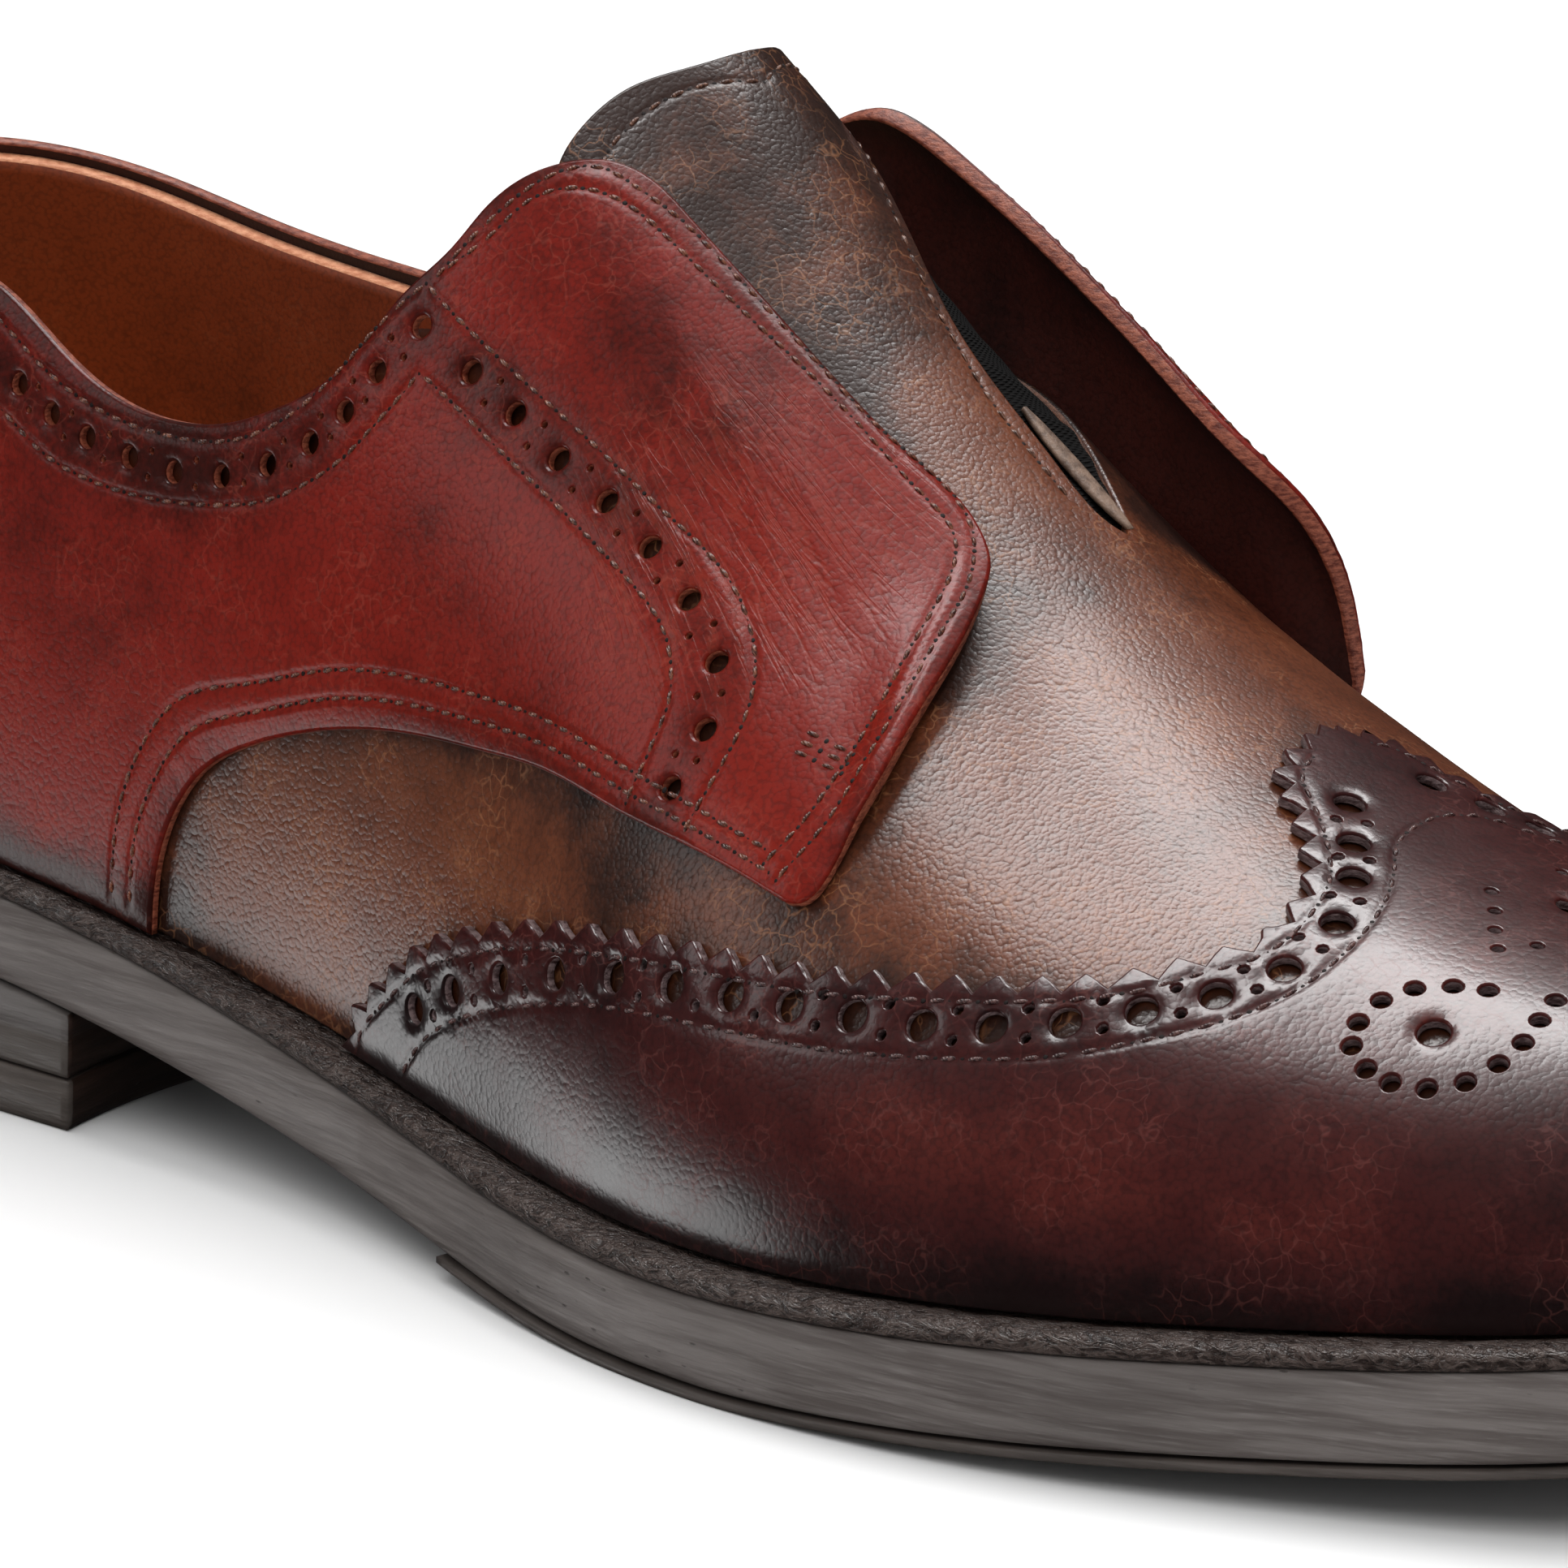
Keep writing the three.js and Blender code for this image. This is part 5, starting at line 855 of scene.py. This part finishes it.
welt_rings = [ring_at(0, -4, -.3), ring_at(0, -1.2, -.32), ring_at(.06, 0, -.75 + wr(1)*.6), ring_at(.22, 0, -.62 + wr(2)), ring_at(.42, 0, -.40 + wr(3)), ring_at(.6, 0, -.34 + wr(4)), ring_at(.78, 0, -.36 + wr(5)),
              ring_at(.90, 0, -.45 + wr(6)), ring_at(1, -.18, -.72 + wr(7)*.6), ring_at(1, .0 + wr(8)*.5, -1.15), ring_at(1, .05 + wr(9)*.5, -1.75), ring_at(1, -.08, -2.25), ring_at(1, -.4, -2.55), ring_at(1, -.7, -2.6), ring_at(0, -4, -2.6)]
done(ring_solid('welt_strip', welt_rings, True, [M_WELT]), 'welt', 'welt')

def spine(ring, x0, x1):
    """Points on the middle line that close a ring: each section's two sides meet in the same point."""
    U2 = UU.copy(); i = np.minimum(U2, 32 - U2); a, b = outline(i, 1.), outline(32 - i, 1.); m = .5*(a + b); m[:, 0] = np.clip(m[:, 0], x0, x1)
    return m
def zspine(z): m = spine(None, 24, 282); return np.c_[m, z(m[:, 0])]
under = lambda x: np.maximum(featherz(x) - 11.9, np.where(x > 142, 1.3, 0))
def at_under(share, extra, dz):
    xy = outline(UU, share, extra + np.zeros(NP)); return np.c_[xy, under(np.clip(xy[:, 0], 0, 304)) + dz]
sole_rings = [ring_at(1, -.9, -2.68), ring_at(1, -.45, -2.85), ring_at(1, -.22 + wr(11)*.3, -3.5), ring_at(1, -.15 + wr(12)*.3, -6.), ring_at(1, -.2 + wr(12)*.3, -8.6), ring_at(1, -.35, -10.2), at_under(1, -.62, .75), at_under(1, -1.1, .18), at_under(1, -1.8, 0)]
done(ring_solid('outsole_leather', sole_rings, False, [M_SOLE, M_BREAST], caps=[(0, zspine(lambda x: featherz(x) - 2.68), True, 0), (8, zspine(under), False, 1)]), 'sole', 'outsole')

# forefoot rubber: a closed loop from the outline in front of x = 150 and a straight rear edge
def plan_loop(x_cut, extra, back, bow, n_edge=60):
    """Closed plan loop of the sole's outline on one side of a cross line at x_cut, as (x, y)."""
    d = np.linspace(0, 32, 4001)[:-1]; o = outline(d, 1., extra + np.zeros(len(d))); m = o[:, 0] < x_cut if back else o[:, 0] > x_cut
    i = np.minimum(d, 32 - d); lat = (d < 16) & m; med = (d > 16) & m
    L, Mm = o[lat], o[med]
    if back: arc = np.concatenate([Mm, L])            # medial corner, round the heel, lateral corner
    else: arc = np.concatenate([L, Mm])               # lateral corner, round the toe, medial corner
    s = np.concatenate([[0], np.cumsum(np.linalg.norm(np.diff(arc, axis=0), axis=1))]); k = np.linspace(0, s[-1], int(s[-1]/1.3)); arc = np.stack([np.interp(k, s, arc[:, j]) for j in (0, 1)], -1)
    v = np.linspace(0, 1, n_edge + 1)[1:-1]; c = arc[-1] + (arc[0] - arc[-1])*v[:, None]; c[:, 0] -= bow*(1 - (2*v - 1)**2)
    return np.concatenate([arc, c])
def inset_loop(P, d):
    a = unit(P - np.roll(P, 1, 0)); b = unit(np.roll(P, -1, 0) - P); n1 = np.stack([-a[:, 1], a[:, 0]], -1); n2 = np.stack([-b[:, 1], b[:, 0]], -1)
    m = (n1 + n2)/np.maximum(1 + (n1*n2).sum(1), .5)[:, None]; ar = (P[:, 0]*np.roll(P[:, 1], -1) - P[:, 1]*np.roll(P[:, 0], -1)).sum()
    return P + m*d*(1 if ar > 0 else -1)
def loop_solid(name, loop, layers, mats, rows, y0=0.):
    """layers: (inset, z function) from top to bottom; caps close on the middle line."""
    R = []
    for ins, zf_ in layers: q = inset_loop(loop, ins); R.append(np.c_[q, zf_(q[:, 0])])
    x = loop[:, 0]; lo, hi = x.min() + 8, x.max() - 8; m = np.stack([np.clip(x, lo, hi), np.full(len(x), y0)], -1)
    # the middle line follows the shape's own middle
    ord_ = np.argsort(x); ym = np.array([.5*(loop[np.abs(x - c) < 4, 1].min() + loop[np.abs(x - c) < 4, 1].max()) for c in m[:, 0]]); m[:, 1] = ym
    V = np.concatenate(R); k = len(loop); F = []; MI = []; i = np.arange(k); j = (i + 1) % k
    for a in range(len(R) - 1):
        F += np.stack([a*k + i, a*k + j, (a+1)*k + j, (a+1)*k + i], -1).tolist(); MI += [rows(a, (loop[i] + loop[j])/2)[q] for q in range(k)]
    c0 = np.c_[m.mean(0)[None], [[layers[0][1](np.array([m[:, 0].mean()]))[0]]]]; c1 = np.c_[m.mean(0)[None], [[layers[-1][1](np.array([m[:, 0].mean()]))[0]]]]
    # two rings in between keep the caps on their curved heights
    for base, zf_, rev in ((0, layers[0][1], True), ((len(R) - 1)*k, layers[-1][1], False)):
        prev = base; q0 = V[base:base + k, :2]; ctr = np.stack([np.clip(q0[:, 0], lo + 6, hi - 6), np.interp(np.clip(q0[:, 0], lo + 6, hi - 6), np.sort(m[:, 0]), ym[np.argsort(m[:, 0])])], -1)
        for w in (.4, .75, 1.):
            q = q0*(1 - w) + ctr*w; s0 = len(V); V = np.concatenate([V, np.c_[q, zf_(q[:, 0])]])
            f = np.stack([prev + i, prev + j, s0 + j, s0 + i], -1); F += (f[:, ::-1] if rev else f).tolist(); MI += [len(mats) - 1]*k; prev = s0
    key = np.round(V/2e-3).astype(np.int64); _, first, inv = np.unique(key, axis=0, return_index=True, return_inverse=True); inv = inv.ravel(); G, MM = [], []
    for f, mm in zip(F, MI):
        f = [int(inv[v]) for v in f]; f = [v for q, v in enumerate(f) if v != f[q - 1]]
        if len(f) >= 3 and len(set(f)) == len(f): G.append(f); MM.append(int(mm))
    V = V[first]; vol = sum(np.dot(V[f[0]], np.cross(V[f[q]], V[f[q + 1]])) for f in G for q in range(1, len(f) - 1))
    if vol < 0: G = [f[::-1] for f in G]
    o = new_object(name, V, G, mats, MM);
    return o
side_only = lambda a, c: np.zeros(len(c), int)
rl = plan_loop(150., -.42, False, 0.)
rz0 = lambda x: np.maximum(1.0, featherz(x) - 12.2); rz1 = lambda x: np.maximum(0., featherz(x) - 13.2)
done(loop_solid('forefoot_rubber_layer', rl, [(.25, rz0), (0, lambda x: rz0(x) - .15), (0, lambda x: rz1(x) + .25), (.3, rz1)], [M_RUBBER, M_RUBBER], side_only), 'rubber', 'forefoot_rubber')
hlp = plan_loop(87., -.55, True, 6.)
def heel_rows(a, c):
    # faces on the breast line get the dark finish
    arc_n = len(hlp) - 59; k = np.zeros(len(c), int); k[arc_n - 1:] = 1; return k
hz0 = lambda x: featherz(x) - 12.2
layers = [(.35, hz0), (.08, lambda x: hz0(x) - .25)]
def zc(z, up): return lambda x: np.minimum(z + 0*x, hz0(x) - up)
layers += [(.0, zc(14.1, .5)), (.0, zc(10.15, .9)), (.13, zc(9.95, 1.1)), (.02, zc(9.75, 1.3)), (.05, zc(6.3, 1.6)), (.2, zc(5.85, 1.8))]
done(loop_solid('heel_stack_leather', hlp, layers, [M_HEEL, M_BREAST, M_HEEL], heel_rows), 'heel', 'heel_stack')
tp = plan_loop(87., -.6, True, 6.)
c_ = lambda z: (lambda x: z + 0*x)
done(loop_solid('heel_top_piece_layer', tp, [(.25, c_(5.5)), (.02, c_(5.25)), (.0, c_(2.6)), (.08, c_(.8)), (.45, c_(.12)), (.9, c_(.0))], [M_TOPP, M_BREAST, M_RUBBER], heel_rows), 'rubber', 'heel_top_piece')

# insole with a slight dish
def insole():
    a = np.linspace(0, 1, 120); v = np.linspace(0, 1, 40); u = .06 + (15.94 - .06)*a; T, B, C = [], [], []
    for ui in u:
        l, m = outline(np.array([ui]), 0., np.array([-3.2]))[0], outline(np.array([32 - ui]), 0., np.array([-3.2]))[0]
        for vi in v:
            p = l + (m - l)*vi; z = float(featherz(np.array([p[0]]))[0]); k = 1 - (2*vi - 1)**2
            T.append([p[0], p[1], z + 3.0 - .9*k]); B.append([p[0], p[1], z + .1])
    for i in range(119):
        for j in range(39): q = i*40 + j; C.append([q, q + 40, q + 41, q + 1])
    return shell('insole_board', np.array(T), np.array(B), C, [M_INSOLE])
done(insole(), 'insole', 'insole')

# =====================================================================================================
# stage, light and camera
# =====================================================================================================
me = bpy.data.meshes.new('floor'); k = 3.2
me.from_pydata([(-.56, -.50, 0), (.85, -.50, 0), (.85, .95, 0), (-.56, .95, 0)], [], [(0, 1, 2, 3)]); floor = bpy.data.objects.new('floor', me); bpy.context.scene.collection.objects.link(floor)
fm = bpy.data.materials.new('floor_white'); fm.use_nodes = True; b = fm.node_tree.nodes['Principled BSDF']; b.inputs['Base Color'].default_value = (.92, .92, .92, 1); b.inputs['Roughness'].default_value = .9; b.inputs['Specular IOR Level'].default_value = .1
me.materials.append(fm)

def area(name, direction, dist, size, power, target=(.02, 0, .04), glossy=True, diffuse=True, sy=None):
    az, el = map(math.radians, direction); L = bpy.data.lights.new(name, 'AREA'); L.energy = power; L.shape = 'RECTANGLE'; L.size = size; L.size_y = sy or size
    o = bpy.data.objects.new(name, L); bpy.context.scene.collection.objects.link(o)
    d = Vector((math.cos(az)*math.cos(el), math.sin(az)*math.cos(el), math.sin(el))); o.location = Vector(target) + d*dist; o.rotation_euler = d.to_track_quat('Z', 'Y').to_euler()
    o.visible_glossy = glossy; o.visible_diffuse = diffuse; o.visible_camera = False
    return o
top = area('softbox_top', (166, 74), 1.15, .28, 10.5, diffuse=False, sy=.92); top.rotation_euler = (0, 0, 0)      # hangs flat, long side across the shoe
area('softbox_back', (100, 64), 1.15, .27, 2.7, diffuse=False)
area('softbox_side', (-132, 25), 1.2, .2, .75, sy=.45, diffuse=False)
area('bounce_card', (-147, -20), 1.0, .6, 1.6, sy=.24, diffuse=False)
area('key', (105, 76), 1.7, 1.2, 22., glossy=False)
area('fill', (-60, 50), 1.8, 1.2, 13., glossy=False)
floor.visible_glossy = False

w = bpy.data.worlds.new('studio'); bpy.context.scene.world = w; w.use_nodes = True; t = w.node_tree; t.nodes.clear()
out = t.nodes.new('ShaderNodeOutputWorld'); lp = t.nodes.new('ShaderNodeLightPath'); b1 = t.nodes.new('ShaderNodeBackground'); b2 = t.nodes.new('ShaderNodeBackground'); b3 = t.nodes.new('ShaderNodeBackground'); m1 = t.nodes.new('ShaderNodeMixShader'); m2 = t.nodes.new('ShaderNodeMixShader')
b1.inputs[0].default_value = (1, 1, 1, 1); b1.inputs[1].default_value = .53; b2.inputs[0].default_value = (1, 1, 1, 1); b2.inputs[1].default_value = 1.0
tcw = t.nodes.new('ShaderNodeTexCoord'); sx = t.nodes.new('ShaderNodeSeparateXYZ'); mr = t.nodes.new('ShaderNodeMapRange'); t.links.new(tcw.outputs['Generated'], sx.inputs[0]); t.links.new(sx.outputs[2], mr.inputs[0])
mr.inputs[1].default_value = .1; mr.inputs[2].default_value = .9; mr.inputs[3].default_value = .015; mr.inputs[4].default_value = .10
b3.inputs[0].default_value = (1, 1, 1, 1); t.links.new(mr.outputs[0], b3.inputs[1])
t.links.new(lp.outputs['Is Glossy Ray'], m1.inputs[0]); t.links.new(b1.outputs[0], m1.inputs[1]); t.links.new(b3.outputs[0], m1.inputs[2])
t.links.new(lp.outputs['Is Camera Ray'], m2.inputs[0]); t.links.new(m1.outputs[0], m2.inputs[1]); t.links.new(b2.outputs[0], m2.inputs[2]); t.links.new(m2.outputs[0], out.inputs[0])

# camera: right, up and back directions from the photo's azimuth, elevation and roll
A_, E_, ROLL, TX, TY, SC, D_ = math.radians(43.4), math.radians(14.38), math.radians(-1.27), 2.46, -6.47, 12.236, 1200.
bk = np.array([math.sin(A_)*math.cos(E_), -math.cos(A_)*math.cos(E_), math.sin(E_)]); rt_ = np.array([math.cos(A_), math.sin(A_), 0.]); up_ = np.cross(bk, rt_)
r_ = math.cos(ROLL)*rt_ - math.sin(ROLL)*up_; u_ = math.sin(ROLL)*rt_ + math.cos(ROLL)*up_
pos = np.array([150., 0., 50.]) + bk*D_ + r_*TX + u_*TY
cam = bpy.data.cameras.new('camera'); co = bpy.data.objects.new('camera', cam); bpy.context.scene.collection.objects.link(co)
cam.sensor_width = 36.; cam.sensor_fit = 'AUTO'; cam.lens = 36.*SC*D_/1932.; cam.clip_start = .05; cam.clip_end = 50.
M4 = Matrix.Identity(4)
for q in range(3): M4[q][0] = r_[q]; M4[q][1] = u_[q]; M4[q][2] = bk[q]
M4[0][3], M4[1][3], M4[2][3] = (pos[0] - CX)/1000, (pos[1] - CY)/1000, pos[2]/1000
co.matrix_world = M4; bpy.context.scene.camera = co
bpy.context.scene.view_settings.view_transform = 'Standard'
